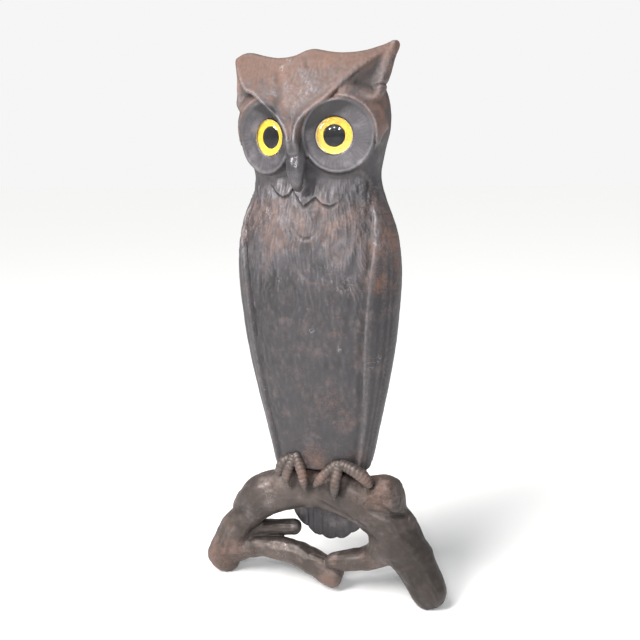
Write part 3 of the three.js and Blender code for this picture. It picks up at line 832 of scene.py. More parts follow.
def build_owl(sizes, colours):
    clay, edges, shapes = model_owl(sizes)
    owl, points = cast("owl", clay)
    edge = clay.read(edges, points)
    shape = clay.read(shapes, points)
    x, y, z = points.T
    inside = ease(-1.6, -3.4, body_form(x, y, z)) * ease(-30, -26, y) * ease(99, 101, z)
    crown = ease(352, 374, z - 0.12 * x)
    face = ease(4, 1, y - brow_face(x, z)) * ease(335, 348, z)
    rust = 0.95 * np.maximum(crown, 0.72 * face * ease(337, 362, z))
    discs, shadow = 0 * x, 0.0
    for side in (-1, 1):
        across, up, out, radial = disc_coordinates(side, x, y, z)
        # Painted shadow: the upper inner part of each disc, under the hood and brow, is darkened.
        inner_top = 0.85 * up - 0.5 * side * across
        shadow = shadow + 1.5 * ease(8, 17, inner_top) * ease(22.5, 20.5, radial) * ease(-6, -4, out)
        hood = ease(22.8, 24, radial) * ease(29, 26, radial) * ease(4, 14, up) * ease(-7, -2, out)
        rust = np.maximum(rust, 0.7 * hood)
        discs = np.maximum(discs, ease(23.5, 22, radial) * ease(-6, -4, out))
    # Painted shade in the hollow behind each brow edge, on the outer side of the ears.
    ears = (
        ease(1.5, 4.5, y - brow_face(x, z)) * ease(28, 36, np.abs(x)) * ease(350, 358, z)
        * ease(52, 46, np.abs(x))
    )
    shadow = shadow + 0.75 * ears
    breast = ease(238, 262, z) * ease(296, 284, z) * ease(-20, -30, y)
    left_side = ease(30, 44, x) * ease(150, 260, z) * ease(350, 280, z)
    rust = np.maximum(rust, np.maximum(0.5 * breast, 0.46 * left_side))
    rust = np.maximum(rust, 0.75 * mound(np.sqrt((x - 3) ** 2 + (z - 106) ** 2), 13) * ease(-20, -26, y))
    gloss = mound(np.sqrt(x ** 2 + (y + 54) ** 2 + ((z - 306) * 0.55) ** 2), 9)
    plate = face * ease(346, 330, z)
    rust = np.maximum(rust, 0.22 + 0.36 * ease(312, 330, z)) * (1 - 0.8 * discs)
    rust = rust * (1 - gloss) * (1 - 0.6 * plate)
    plumage = (
        ease(298, 288, z) * ease(205, 250, z) * ease(-16, -22, y)
        * ease(0, 4, wing_front(z) - np.abs(x))
    )
    # Painted shade: the front is darker towards the bottom, where less light reaches it.
    painted_lower_shade = np.where(z < 300, 0.78 * ease(262, 222, z), 0.1) * ease(-8, -14, y)
    keep_finish(
        owl,
        worn=edge * 1.6,
        # Dirt in the creases, with painted shade: deepened creases, the disc shadows and the ear hollows.
        hollow=np.maximum(-edge * 1.8, 0) + np.maximum(-shape * 0.55, 0) + shadow,
        rusted=np.maximum(rust, 0.75 * inside),
        plumed=plumage,
        # Painted shade on the lower front and the outer flanks, and the beak's own darker tone.
        dark=painted_lower_shade + 0.3 * ease(46, 50, np.abs(x)) + 0.5 * gloss,
        polished=gloss,
    )
    hand_over(owl, "owl_casting", cast_iron("owl_iron", colours.iron, colours, 1.0))


# ------------------------------------------------------------------ the branch casting


class Runs:
    """Lengthwise and turning places on the surface of several limbs, for their grain."""

    def __init__(self, limbs, steps=6):
        middles, ways, alongs, radii, kinds = [], [], [], [], []
        for kind, points in limbs:
            rows = stroke(points, steps)
            way = np.gradient(rows[:, :3], axis=0)
            way /= np.linalg.norm(way, axis=1)[:, None]
            walked = np.concatenate([[0], np.cumsum(np.linalg.norm(np.diff(rows[:, :3], axis=0), axis=1))])
            middles.append(rows[:, :3])
            ways.append(way)
            alongs.append(walked + 53.0 * len(alongs))
            radii.append(rows[:, 3])
            kinds.append(np.full(len(rows), kind))
        self.middles = np.vstack(middles).astype(np.float32)
        self.ways = np.vstack(ways).astype(np.float32)
        self.alongs = np.concatenate(alongs).astype(np.float32)
        self.radii = np.concatenate(radii).astype(np.float32)
        self.kinds = np.concatenate(kinds)

    def at(self, x, y, z):
        """Distance along, angle around, and kind of the nearest limb."""
        points = np.stack([x, y, z], axis=1).astype(np.float32)
        nearest = np.empty(len(points), np.int64)
        level = (self.middles ** 2).sum(1) - self.radii ** 2
        for start in range(0, len(points), 200000):
            block = points[start:start + 200000]
            nearest[start:start + 200000] = np.argmin(level - 2 * block @ self.middles.T, axis=1)
        off, way = points - self.middles[nearest], self.ways[nearest]
        ahead = (off * way).sum(1)
        beside = off[:, 0] * way[:, 2] - off[:, 2] * way[:, 0]
        return self.alongs[nearest] + ahead, np.arctan2(off[:, 1], beside), self.kinds[nearest]


BARK, SCALES = 0, 1


def branch_limbs():
    barks = [ARCH, STUB, LOWER_LEFT, LOWER_RIGHT, CUT_TWIG]
    return [(BARK, rows) for rows in barks] + [(SCALES, rows) for rows in TOES]


def branch_relief(sizes):
    runs = Runs(branch_limbs())
    depth, ring_depth = sizes.bark / MM, sizes.toe_ring / MM

    def height(x, y, z):
        along, angle, kind = runs.at(x, y, z)
        c, s = np.cos(angle), np.sin(angle)
        drift = GRAIN.at(along / 26, c * 1.1, s * 1.1)
        ridges = 1 - 2.2 * np.abs(GRAIN.at(along / 19, c * 2.3 + 0.5 * drift, s * 2.3))
        fine = FINE_GRAIN.at(along / 7, c * 5.5, s * 5.5)
        lumps = GRAIN.at(x / 13, y / 13, z / 13) + 0.6 * FINE_GRAIN.at(x / 6, y / 6, z / 6)
        pits = FINE_GRAIN.at(x / 1.8, y / 1.8, z / 1.8)
        bark = depth * (0.75 * ridges + 0.45 * fine) + 0.95 * lumps + 0.07 * pits
        ring = np.abs(((along + 0.5 * drift) / 2.7) % 1.0 - 0.5) * 2
        scales = ring_depth * (0.55 - ring ** 2.0) + 0.12 * lumps
        return np.where(kind == SCALES, scales, bark)

    return height


def nearest_on(points, x, y, z):
    """Distance from each place to a smooth line through points."""
    rows = stroke(points, 3)[:, :3]
    return np.sqrt(np.min([(x - a) ** 2 + (y - b) ** 2 + (z - c) ** 2 for a, b, c in rows], axis=0))


def branch_creases(x, y, z):
    """The notch under the left shoulder, the crease below the stub and one across the arch."""
    notch = mound((z - 53.6) - 0.35 * (x + 68), 3.8) * ease(-52, -64, x)
    under_stub = mound((z - 71.0) + 0.22 * (x - 48), 1.8) * ease(38, 44, x) * ease(-16, -22, y)
    across = mound((z - 66) + 0.42 * (x - 22), 1.7) * ease(-2, 8, x) * ease(46, 34, x) * ease(-20, -28, y)
    return -2.6 * notch - 1.3 * under_stub - 1.1 * across


def model_branch(sizes):
    clay = Clay((-102, -40, -1.2), (98, 1, 112), sizes.grid / MM)
    clay.limb(ARCH, 4, FLATTEN)
    clay.limb(SHOULDER, 4, 1.0, 3.0)
    clay.limb(LOWER_LEFT, 4, 1.0, 3.0, LOWER_LEFT_CUT)
    clay.limb(CUT_TWIG, 4, 1.0, 2.0)
    clay.limb(LOWER_RIGHT, 4, 1.0, 1.6, LOWER_RIGHT_CUT)
    clay.limb(STUB, 5, 1.0, 2.5, STUB_CUT)
    clay.limb(LEFT_KNOT, 4, 1.0, 2.5)
    for knot in KNOTS:
        clay.limb(knot, 3, 1.0, 6.0)
    clay.relief(branch_creases, 5.0, ((-90, -40, 30), (66, 1, 95)))
    # Dark gaps where the toes bite into the bark, then the toes themselves.
    for toe in TOES:
        clay.relief(
            lambda x, y, z: -1.5 * mound(nearest_on(toe, x, y, z), 5.4), 4.0,
            ((-36, -40, 72), (50, -16, 111)),
        )
    for toe in TOES:
        clay.limb(toe, 5, 1.0, 0.35)
    clay.relief(branch_relief(sizes), 3.4)
    edges = clay.softened(1.5) - clay.field
    shapes = clay.softened(5.0) - clay.field
    # Room for the owl, its tail and the bolts, and flat feet.
    owl = Clay((-102, -40, BODY_BOTTOM - 5), (98, 1, 112), sizes.grid / MM)
    model_owl_outside(owl, sizes)
    first = int(round((owl.low[2] - clay.low[2]) / clay.step))
    room = clay.field[:, :, first:]
    room[...] = np.maximum(room, GAP - owl.field[:, :, :room.shape[2]])
    tail_room = ((-90, TAIL_FRONT - GAP, 27), (90, 60, 130), 0.5)
    clay.carve(lambda x, y, z: rounded_box(x, y, z, *tail_room), blend=0.5)
    bore_for_bolts(clay, -24, 1, -20.5)
    clay.carve(above_floor, blend=1.2)
    return clay, edges, shapes


def build_branch(sizes, colours):
    clay, edges, shapes = model_branch(sizes)
    branch, points = cast("branch", clay)
    edge, shape = clay.read(edges, points), clay.read(shapes, points)
    x, z = points[:, 0], points[:, 2]
    stub = mound(np.sqrt((x - 50) ** 2 + (z - 88) ** 2), 20)
    toes = mound(np.sqrt(x ** 2 + ((z - 97) * 1.6) ** 2), 17)
    right_leg = ease(50, 66, x)
    arms = 0.55 * ease(40, 12, z) + 0.5 * ease(-45, -70, x)
    keep_finish(
        branch,
        worn=edge * 0.9,
        # Dirt in the creases, deepened as painted shade.
        hollow=np.maximum(-edge * 1.8, 0) + np.maximum(-shape * 0.4, 0),
        rusted=0.2 + 0.5 * stub + 0.5 * toes + 0.35 * arms - 0.4 * right_leg,
        # A flat darker tone, plus painted shade on the lower right leg and under the arch.
        dark=0.2 + right_leg * ease(64, 50, z) + 0.4 * ease(-4, 20, x) * ease(70, 56, z),
    )
    iron = cast_iron("branch_iron", colours.branch, colours, 1.0)
    hand_over(branch, "branch_casting", iron)


# ------------------------------------------------------------------ the rear leg


def build_rear_leg(colours):
    clay = Clay((-32, PAD_FRONT - 2, -2), (44, 90, 92), 0.55)
    pad_low = (-PAD_WIDTH / 2, PAD_FRONT, BOLT_Z - PAD_HEIGHT / 2)
    pad_high = (PAD_WIDTH / 2, PAD_BACK, BOLT_Z + PAD_HEIGHT / 2)
    clay.join(lambda x, y, z: rounded_box(x, y, z, pad_low, pad_high, 1.3))
    clay.limb(REAR_LEG, 6, 1.0, 3.5)
    clay.join(
        lambda x, y, z: rounded_drum(
            np.sqrt((x - REAR_FOOT[0]) ** 2 + (y - REAR_FOOT[1]) ** 2), z, REAR_FOOT_RADIUS, -2.0, 5.0, 1.2,
        ),
        blend=3.0,
    )
    clay.relief(
        lambda x, y, z: (0.35 * GRAIN.at(x / 9, y / 9, z / 9) + 0.15 * FINE_GRAIN.at(x / 3, y / 3, z / 3))
        * ease(PAD_BACK - 1, PAD_BACK + 3, y), 2.5,
    )
    edges = clay.softened(1.5) - clay.field
    clay.carve(above_floor, blend=1.0)
    clay.carve(lambda x, y, z: y - PAD_FRONT + 0 * x + 0 * z, blend=0.5)
    bore_for_bolts(clay, -2, PAD_BACK + 3)
    leg, points = cast("rear_leg_bar", clay)
    edge = clay.read(edges, points)
    # Crevices darkened with dirt and painted shade, and a flat darker tone.
    keep_finish(leg, worn=edge * 1.4, hollow=-edge * 1.6, rusted=0.5, dark=0.4)
    hand_over(leg, "rear_leg", cast_iron("leg_iron", colours.branch, colours, 1.0))


# ------------------------------------------------------------------ bolts, washers, straps, screws


def fixing_steel(colours):
    found = bpy.data.materials.get("darkened_steel")
    return found or cast_iron("darkened_steel", colours.steel, colours, 0.6, metallic=0.85)


def finish_fixing(piece, node, clay, points, colours, rusted):
    edges = clay.read(clay.softened(max(0.6, 2 * clay.step)) - clay.field, points)
    # Crevices darkened with dirt and painted shade.
    keep_finish(piece, worn=edges * 3.0, hollow=-edges * 2.0, rusted=rusted)
    hand_over(piece, node, fixing_steel(colours))


def washer_form(x, y, z):
    radial, front = np.sqrt(x ** 2 + z ** 2), PAD_BACK + 0.1
    drum = rounded_drum(radial, y, WASHER_RADIUS, front, front + WASHER_THICKNESS, 0.45)
    return blended_most(drum, BOLT_RADIUS + 0.4 - radial + 0 * y, 0.3)


def build_leg_fasteners(colours):
    for side, word in ((1, "left"), (-1, "right")):
        middle = (side * BOLT_X, 0.0, BOLT_Z)
        head_front = PAD_BACK + WASHER_THICKNESS + 0.2
        turn = side * 0.35
        sine, cosine = math.sin(turn), math.cos(turn)

        def bolt_form(x, y, z):
            radial = np.sqrt(x ** 2 + z ** 2)
            shank = rounded_drum(radial, y, BOLT_RADIUS, head_front - BOLT_REACH, head_front + 1.0, 0.6)
            along = y + np.arctan2(z, x) * BOLT_PITCH / (2 * math.pi)
            thread = 0.22 * np.cos(along * 2 * math.pi / BOLT_PITCH)
            shank = shank + (thread + 0.22) * ease(head_front - 5, head_front - 6, y) * 0.7
            across, up = x * cosine - z * sine, x * sine + z * cosine
            half = BOLT_HEAD / 2
            head = rounded_box(
                across, y, up, (-half, head_front, -half), (half, head_front + BOLT_HEAD_HEIGHT, half), 0.7,
            )
            crown = radial - half * 1.34 + 1.6 * np.maximum(y - head_front - BOLT_HEAD_HEIGHT + 1.4, 0)
            return np.minimum(shank, blended_most(head, crown, 0.5))

        clay = Clay((-9, head_front - BOLT_REACH - 1, -9), (9, head_front + BOLT_HEAD_HEIGHT + 1, 9), 0.24)
        clay.join(bolt_form)
        clay.relief(lambda x, y, z: 0.07 * GRAIN.at(x / 1.7 + side, y / 1.7, z / 1.7), 1.0)
        place = TO_ROW @ Matrix.Translation(middle)
        bolt, points = cast("bolt_" + word, clay, place)
        finish_fixing(bolt, "leg_bolt_" + word, clay, points, colours, 0.45)

        washer_clay = Clay((-10, PAD_BACK - 0.6, -10), (10, PAD_BACK + 2.4, 10), 0.24)
        washer_clay.join(washer_form)
        washer, points = cast("washer_" + word, washer_clay, place)
        finish_fixing(washer, "leg_washer_" + word, washer_clay, points, colours, 0.5)


def strap_form(x, y, z):
    over = np.maximum(np.abs(y) - (STRAP_HALF_LENGTH - STRAP_HALF_WIDTH), 0)
    outline = np.sqrt(x ** 2 + over ** 2) - STRAP_HALF_WIDTH
    holes = SCREW_RADIUS + 0.3 - np.sqrt(x ** 2 + (np.abs(y) - STRAP_SCREW_AT) ** 2)
    plan = np.maximum(outline, holes)
    return blended_most(plan + 0 * z, np.maximum(z - STRAP_FRONT, STRAP_BACK - z), 0.45)


def screw_form(level):
    def form(x, y, z):
        radial = np.sqrt(x ** 2 + (y - level * STRAP_SCREW_AT) ** 2)
        seat = STRAP_BACK - 0.15
        head = rounded_drum(radial, z, SCREW_HEAD_RADIUS, seat - SCREW_HEAD_HEIGHT, seat, 0.35)
        dome = np.sqrt(radial ** 2 + (z - seat - 2.2) ** 2) - 4.25
        head = blended_most(head, dome, 0.3)
        slot_turn = level * 0.5 + 0.4
        slot = np.abs(x * math.cos(slot_turn) + (y - level * STRAP_SCREW_AT) * math.sin(slot_turn))
        slot = slot - SCREW_SLOT_HALF_WIDTH
        head = blended_most(head, -np.maximum(slot, z - (seat - SCREW_HEAD_HEIGHT + 0.95)), 0.12)
        shank = rounded_drum(radial, z, SCREW_RADIUS, seat - 0.2, seat + SCREW_REACH, 0.5)
        angle = np.arctan2(y - level * STRAP_SCREW_AT, x)
        thread = 0.1 * np.cos((z * 2 * math.pi + angle * SCREW_PITCH) / SCREW_PITCH)
        return np.minimum(head, shank + (0.1 + thread) * ease(seat + 0.6, seat + 1.0, z))

    return form


def build_eye_fixings(colours):
    for side, word in ((1, "left"), (-1, "right")):
        place = eye_place(side)
        clay = Clay((-6, -18, STRAP_BACK - 0.8), (6, 18, STRAP_FRONT + 0.8), 0.2)
        clay.join(strap_form)
        clay.relief(lambda x, y, z: 0.04 * GRAIN.at(x / 2 + 5 * side, y / 2, z / 2), 0.8)
        strap, points = cast("strap_" + word, clay, place)
        finish_fixing(strap, "eye_strap_" + word, clay, points, colours, 0.35)
        for level, end in ((1, "upper"), (-1, "lower")):
            middle = level * STRAP_SCREW_AT
            clay = Clay((-3.6, middle - 3.6, STRAP_BACK - 2.8), (3.6, middle + 3.6, STRAP_BACK + 6.2), 0.13)
            clay.join(screw_form(level))
            screw, points = cast("screw_" + word + "_" + end, clay, place)
            finish_fixing(screw, "strap_screw_" + word + "_" + end, clay, points, colours, 0.25)


# ------------------------------------------------------------------ the eyes


def turned(name, profile, around, place, ring=False):
    """A piece turned about its Z axis from [radius, height] points, listed outwards from the
    back; a ring's profile closes on itself and others start and end on the axis."""
    points, faces = [], []
    rows = []
    for radius, height in profile:
        if radius < 1e-6:
            rows.append([len(points)])
            points.append((0, 0, height))
            continue
        rows.append(list(range(len(points), len(points) + around)))
        for i in range(around):
            angle = 2 * math.pi * i / around
            points.append((radius * math.cos(angle), radius * math.sin(angle), height))
    pairs = list(zip(rows, rows[1:])) + ([(rows[-1], rows[0])] if ring else [])
    for low, high in pairs:
        for i in range(around):
            j = (i + 1) % around
            if len(low) == 1:
                faces.append((low[0], high[j], high[i]))
            elif len(high) == 1:
                faces.append((low[i], low[j], high[0]))
            else:
                faces.append((low[i], low[j], high[j], high[i]))
    mesh = bpy.data.meshes.new(name)
    mesh.from_pydata([place @ Vector(p) for p in points], [], faces)
    mesh.shade_smooth()
    piece = bpy.data.objects.new(name, mesh)
    bpy.context.scene.collection.objects.link(piece)
    return piece


def corner(radius, height, start, end, size, steps=5):
    """Profile points round an edge, between two directions given in degrees."""
    angles = np.radians(np.linspace(start, end, steps))
    return [(radius + size * math.cos(a), height + size * math.sin(a)) for a in angles]


def build_eyes(colours):
    glass, iris_paint = clear_glass(), iris_enamel(colours)
    pupil_paint, felt = pupil_enamel(colours), packing_felt(colours)
    for side, word in ((1, "left"), (-1, "right")):
        place = eye_place(side)
        dome = [(0, GLASS_BACK)] + [(r, GLASS_BACK) for r in (3, 6, 9)]
        dome += corner(GLASS_RADIUS - 0.35, GLASS_BACK + 0.35, -90, 0, 0.35)
        dome += [(GLASS_RADIUS, -2.4), (GLASS_RADIUS, -1.9)]
        for i in range(28, -1, -1):
            angle = i / 28 * math.pi / 2
            dome.append((GLASS_RADIUS * math.sin(angle), GLASS_EDGE + GLASS_RISE * math.cos(angle)))
        piece = turned("eye_dome_" + word, dome, GLASS_STEPS, place)
        piece.visible_shadow = False
        hand_over(piece, "eye_glass_" + word, glass)

        inner, outer, edge = PUPIL_RADIUS + 0.15, GLASS_RADIUS - 0.1, 0.2
        ring = corner(inner + edge, ENAMEL_BACK + edge, 180, 270, edge)
        ring += corner(outer - edge, ENAMEL_BACK + edge, -90, 0, edge)
        ring += corner(outer - edge, ENAMEL_FRONT - edge, 0, 90, edge)
        ring += [
            (inner + (outer - inner) * s, ENAMEL_FRONT - 0.12 * math.sin(math.pi * s))
            for s in (0.75, 0.5, 0.25)
        ]
        ring += corner(inner + edge, ENAMEL_FRONT - edge, 90, 180, edge)
        piece = turned("iris_ring_" + word, ring, GLASS_STEPS, place, ring=True)
        hand_over(piece, "iris_" + word, iris_paint)

        spot = [(0, ENAMEL_BACK), (3, ENAMEL_BACK)]
        spot += corner(PUPIL_RADIUS - edge, ENAMEL_BACK + edge, -90, 0, edge)
        spot += corner(PUPIL_RADIUS - edge, ENAMEL_FRONT - edge, 0, 90, edge)
        spot += [(4, ENAMEL_FRONT), (2, ENAMEL_FRONT), (0, ENAMEL_FRONT)]
        piece = turned("pupil_spot_" + word, spot, GLASS_STEPS, place)
        hand_over(piece, "pupil_" + word, pupil_paint)

        back, radius, soft = -DISC_DEPTH + 0.1, GLASS_RADIUS - 0.1, 0.8
        pad = [(0, back), (4, back), (8, back)] + corner(radius - soft, back + soft, -90, 0, soft)
        pad += [(radius - 0.15, (back + PACKING_FRONT) / 2)]
        pad += corner(radius - soft, PACKING_FRONT - soft, 0, 90, soft)
        pad += [(8, PACKING_FRONT), (4, PACKING_FRONT), (0, PACKING_FRONT)]
        piece = turned("felt_pad_" + word, pad, PACKING_STEPS, place)
        hand_over(piece, "eye_packing_" + word, felt)


# ------------------------------------------------------------------ finishes


class Finish:
    """A new material and its nodes."""

    def __init__(self, name):
        self.material = bpy.data.materials.new(name)
        self.material.use_nodes = True
        self.tree = self.material.node_tree
        self.tree.nodes.clear()
        self.shader = self.add("ShaderNodeBsdfPrincipled")
        output = self.add("ShaderNodeOutputMaterial")
        self.tree.links.new(self.shader.outputs[0], output.inputs["Surface"])

    def feed(self, node, socket, value):
        if isinstance(value, bpy.types.NodeSocket):
            self.tree.links.new(value, node.inputs[socket])
        else:
            node.inputs[socket].default_value = value

    def add(self, kind, settings=(), **inputs):
        node = self.tree.nodes.new(kind)
        for key, value in dict(settings).items():
            setattr(node, key, value)
        for key, value in inputs.items():
            self.feed(node, key.replace("_", " "), value)
        return node

    def set(self, **inputs):
        for key, value in inputs.items():
            self.feed(self.shader, key.replace("_", " "), value)

    def noise(self, where, size, detail=3.0, roughness=0.55, distortion=0.0):
        """Cloudy noise with features of about `size` metres."""
        node = self.add("ShaderNodeTexNoise", Vector=where)
        self.feed(node, "Scale", 1.0 / size)
        self.feed(node, "Detail", detail)
        self.feed(node, "Roughness", roughness)
        self.feed(node, "Distortion", distortion)
        return node.outputs["Fac"]

    def value(self, name):
        return self.add("ShaderNodeAttribute", {"attribute_name": name}).outputs["Fac"]

    def math(self, operation, a, b=0.0, clamp=False):
        node = self.add("ShaderNodeMath", {"operation": operation, "use_clamp": clamp})
        self.feed(node, 0, a)
        self.feed(node, 1, b)
        return node.outputs[0]

    def ramp(self, value, low, high, to_low=0.0, to_high=1.0):
        node = self.add("ShaderNodeMapRange", {"interpolation_type": "SMOOTHSTEP"})
        ends = {"From Min": low, "From Max": high, "To Min": to_low, "To Max": to_high}
        self.feed(node, "Value", value)
        for key, number in ends.items():
            self.feed(node, key, number)
        return node.outputs["Result"]

    def mix(self, share, a, b):
        node = self.add("ShaderNodeMix", {"data_type": "RGBA"})
        self.feed(node, 0, share)
        self.feed(node, 6, (*a, 1) if isinstance(a, tuple) else a)
        self.feed(node, 7, (*b, 1) if isinstance(b, tuple) else b)
        return node.outputs[2]

    def bump(self, height, distance, strength, normal=None):
        node = self.add("ShaderNodeBump", Height=height, Distance=distance, Strength=strength)
        if normal is not None:
            self.feed(node, "Normal", normal)
        return node.outputs["Normal"]


def shade(value, factor):
    return tuple(min(1.0, c * factor) for c in value)


def cast_iron(name, base, colours, amount, metallic=0.55):
    """Old iron: deep patina, darkened in places by painted shade, rust bloom on the upper surfaces, dirt
    and painted shade in the hollows, rubbed edges.
    """
    finish = Finish(name)
    base = tuple(base)
    place = finish.add("ShaderNodeTexCoord").outputs["Object"]
    specks = finish.noise(place, 0.0011, 3, 0.6)
    grains = finish.noise(place, 0.0030, 4, 0.65)
    clouds = finish.noise(place, 0.0140, 4, 0.6)
    broad = finish.noise(place, 0.0450, 3, 0.55)
    ragged = finish.math("ADD", finish.math("MULTIPLY", specks, 0.9), finish.math("MULTIPLY", grains, 0.45))
    ragged = finish.math("ADD", ragged, finish.math("MULTIPLY", clouds, 0.7))
    ragged = finish.math("ADD", ragged, finish.math("MULTIPLY", broad, 0.5))
    centred = finish.math("SUBTRACT", ragged, 1.275)
    rust = finish.math("ADD", finish.value("rusted"), finish.math("MULTIPLY", centred, 1.5))
    rust = finish.ramp(rust, 0.24, 0.94)
    rust = finish.math("MULTIPLY", rust, amount)
    patches = finish.math("MULTIPLY", finish.ramp(clouds, 0.54, 0.7), rust)

    iron = finish.mix(finish.ramp(broad, 0.38, 0.62), shade(base, 0.72), shade(base, 1.25))
    iron = finish.mix(finish.ramp(clouds, 0.5, 0.72, 0.0, 0.3), iron, tuple(colours.worn))
    iron = finish.mix(finish.ramp(specks, 0.62, 0.78, 0.0, 0.3), iron, tuple(colours.worn))
    # Painted shade: the value read here darkens the iron on the owl's lower front and flanks and on the
    # branch's lower right leg and under its arch; elsewhere it is a flat darker tone, and on the beak its
    # own darker tone.
    depth = finish.math("MULTIPLY", finish.value("dark"), finish.ramp(broad, 0.3, 0.7, 0.6, 1.0))
    iron = finish.mix(depth, iron, shade(base, 0.42))
    colour = finish.mix(finish.math("MULTIPLY", rust, 0.85), iron, tuple(colours.rust))
    colour = finish.mix(finish.math("MULTIPLY", patches, 0.35), colour, tuple(colours.deep_rust))
    torn = finish.noise(place, 0.009, 2, 0.5, 1.2)
    torn = finish.ramp(finish.math("ABSOLUTE", finish.math("SUBTRACT", torn, 0.5)), 0.012, 0.003)
    chips = finish.math("MULTIPLY", torn, finish.ramp(finish.noise(place, 0.021, 1, 0.4), 0.66, 0.71))
    colour = finish.mix(finish.math("MULTIPLY", chips, 0.3), colour, shade(tuple(colours.worn), 1.5))
    rubbed = finish.math("MULTIPLY", finish.value("worn"), finish.ramp(grains, 0.35, 0.65, 0.35, 1.0))
    colour = finish.mix(finish.math("MULTIPLY", rubbed, 0.7, True), colour, tuple(colours.worn))
    # Dirt and painted shade: the hollow value darkens creases, and on the owl also the upper inner discs
    # and the ear hollows.
    soot_and_shade_share = finish.math("MULTIPLY", finish.value("hollow"), 0.85, True)
    colour = finish.mix(soot_and_shade_share, colour, tuple(colours.soot_and_painted_shade))

    rough = finish.ramp(grains, 0.3, 0.7, 0.42, 0.56)
    rough = finish.math("ADD", rough, finish.math("MULTIPLY", rust, 0.22))
    rough = finish.math("SUBTRACT", rough, finish.math("MULTIPLY", finish.value("polished"), 0.24))
    metal = finish.math("SUBTRACT", metallic, finish.math("MULTIPLY", rust, metallic * 0.8), True)

    stretched = finish.add("ShaderNodeMapping", Vector=place)
    stretched.inputs["Scale"].default_value = (1.0, 1.0, 0.13)
    hairs = finish.noise(stretched.outputs[0], 0.0017, 3, 0.55, 0.25)
    hairs = finish.math("MULTIPLY", hairs, finish.value("plumed"))
    normal = finish.bump(hairs, 0.0009, 0.55)
    normal = finish.bump(grains, 0.0003, 0.4, normal)
    normal = finish.bump(specks, 0.00012, 0.5, normal)
    finish.set(Base_Color=colour, Roughness=rough, Metallic=metal, Normal=normal)
    return finish.material


def clear_glass():
    finish = Finish("clear_glass")
    finish.set(Base_Color=(1, 1, 1, 1), Roughness=0.01, IOR=1.2, Transmission_Weight=1.0)
    finish.set(Coat_Weight=1.0, Coat_Roughness=0.08, Coat_IOR=1.36)
    return finish.material


def iris_enamel(colours):
    finish = Finish("yellow_enamel")
    place = finish.add("ShaderNodeTexCoord").outputs["Object"]
    clouds = finish.noise(place, 0.004, 2, 0.5)
    base = tuple(colours.iris)
    colour = finish.mix(finish.ramp(clouds, 0.35, 0.65), shade(base, 0.94), shade(base, 1.04))
    finish.set(Base_Color=colour, Roughness=0.38)
    return finish.material


def pupil_enamel(colours):
    finish = Finish("black_enamel")
    finish.set(Base_Color=(*colours.pupil, 1), Roughness=0.3, Specular_IOR_Level=0.08)
    return finish.material


def packing_felt(colours):
    finish = Finish("packing_felt")
    place = finish.add("ShaderNodeTexCoord").outputs["Object"]
    fibres = finish.noise(place, 0.0009, 4, 0.7, 0.6)
    base = tuple(colours.felt)
    colour = finish.mix(fibres, shade(base, 0.7), shade(base, 1.2))
    finish.set(Base_Color=colour, Roughness=0.95, Sheen_Weight=0.3, Normal=finish.bump(fibres, 0.0004, 0.8))
    return finish.material


# ------------------------------------------------------------------ the stage

CAMERA_FROM = (208.9, -531.1, 315.8)
CAMERA_TURN = math.radians(21.96)
CAMERA_PITCH = math.radians(11.52)
CAMERA_ROLL = math.radians(-1.31)
CAMERA_LENS = 45.65
AIM = Vector((0, 0, 0.2))
FLOOR_HALF = 7.0
SUN_STRENGTH = 2.2
SUN_WIDTH = math.radians(24)
SUN_WAY = Vector((0.4, 0.5, -1.2))
BULB_SIZE = 0.042
BULB_POWER = 1.5
BULBS = {
    "bulb_one": (0.227, -0.948, 0.585),
    "bulb_two": (0.37, -0.892, 0.618),
    "bulb_three": (0.539, -0.816, 0.577),
}
SKY_STRENGTH = 0.42
BACKDROP_STRENGTH = 0.92


def lamp(name, place, size, power, tint):
    light = bpy.data.lights.new(name, "AREA")
    light.shape = "DISK"
    light.size = size
    light.energy = power
    light.color = tint
    holder = bpy.data.objects.new(name, light)
    holder.location = place
    holder.rotation_euler = (AIM - Vector(place)).to_track_quat("-Z", "Y").to_euler()
    bpy.context.scene.collection.objects.link(holder)


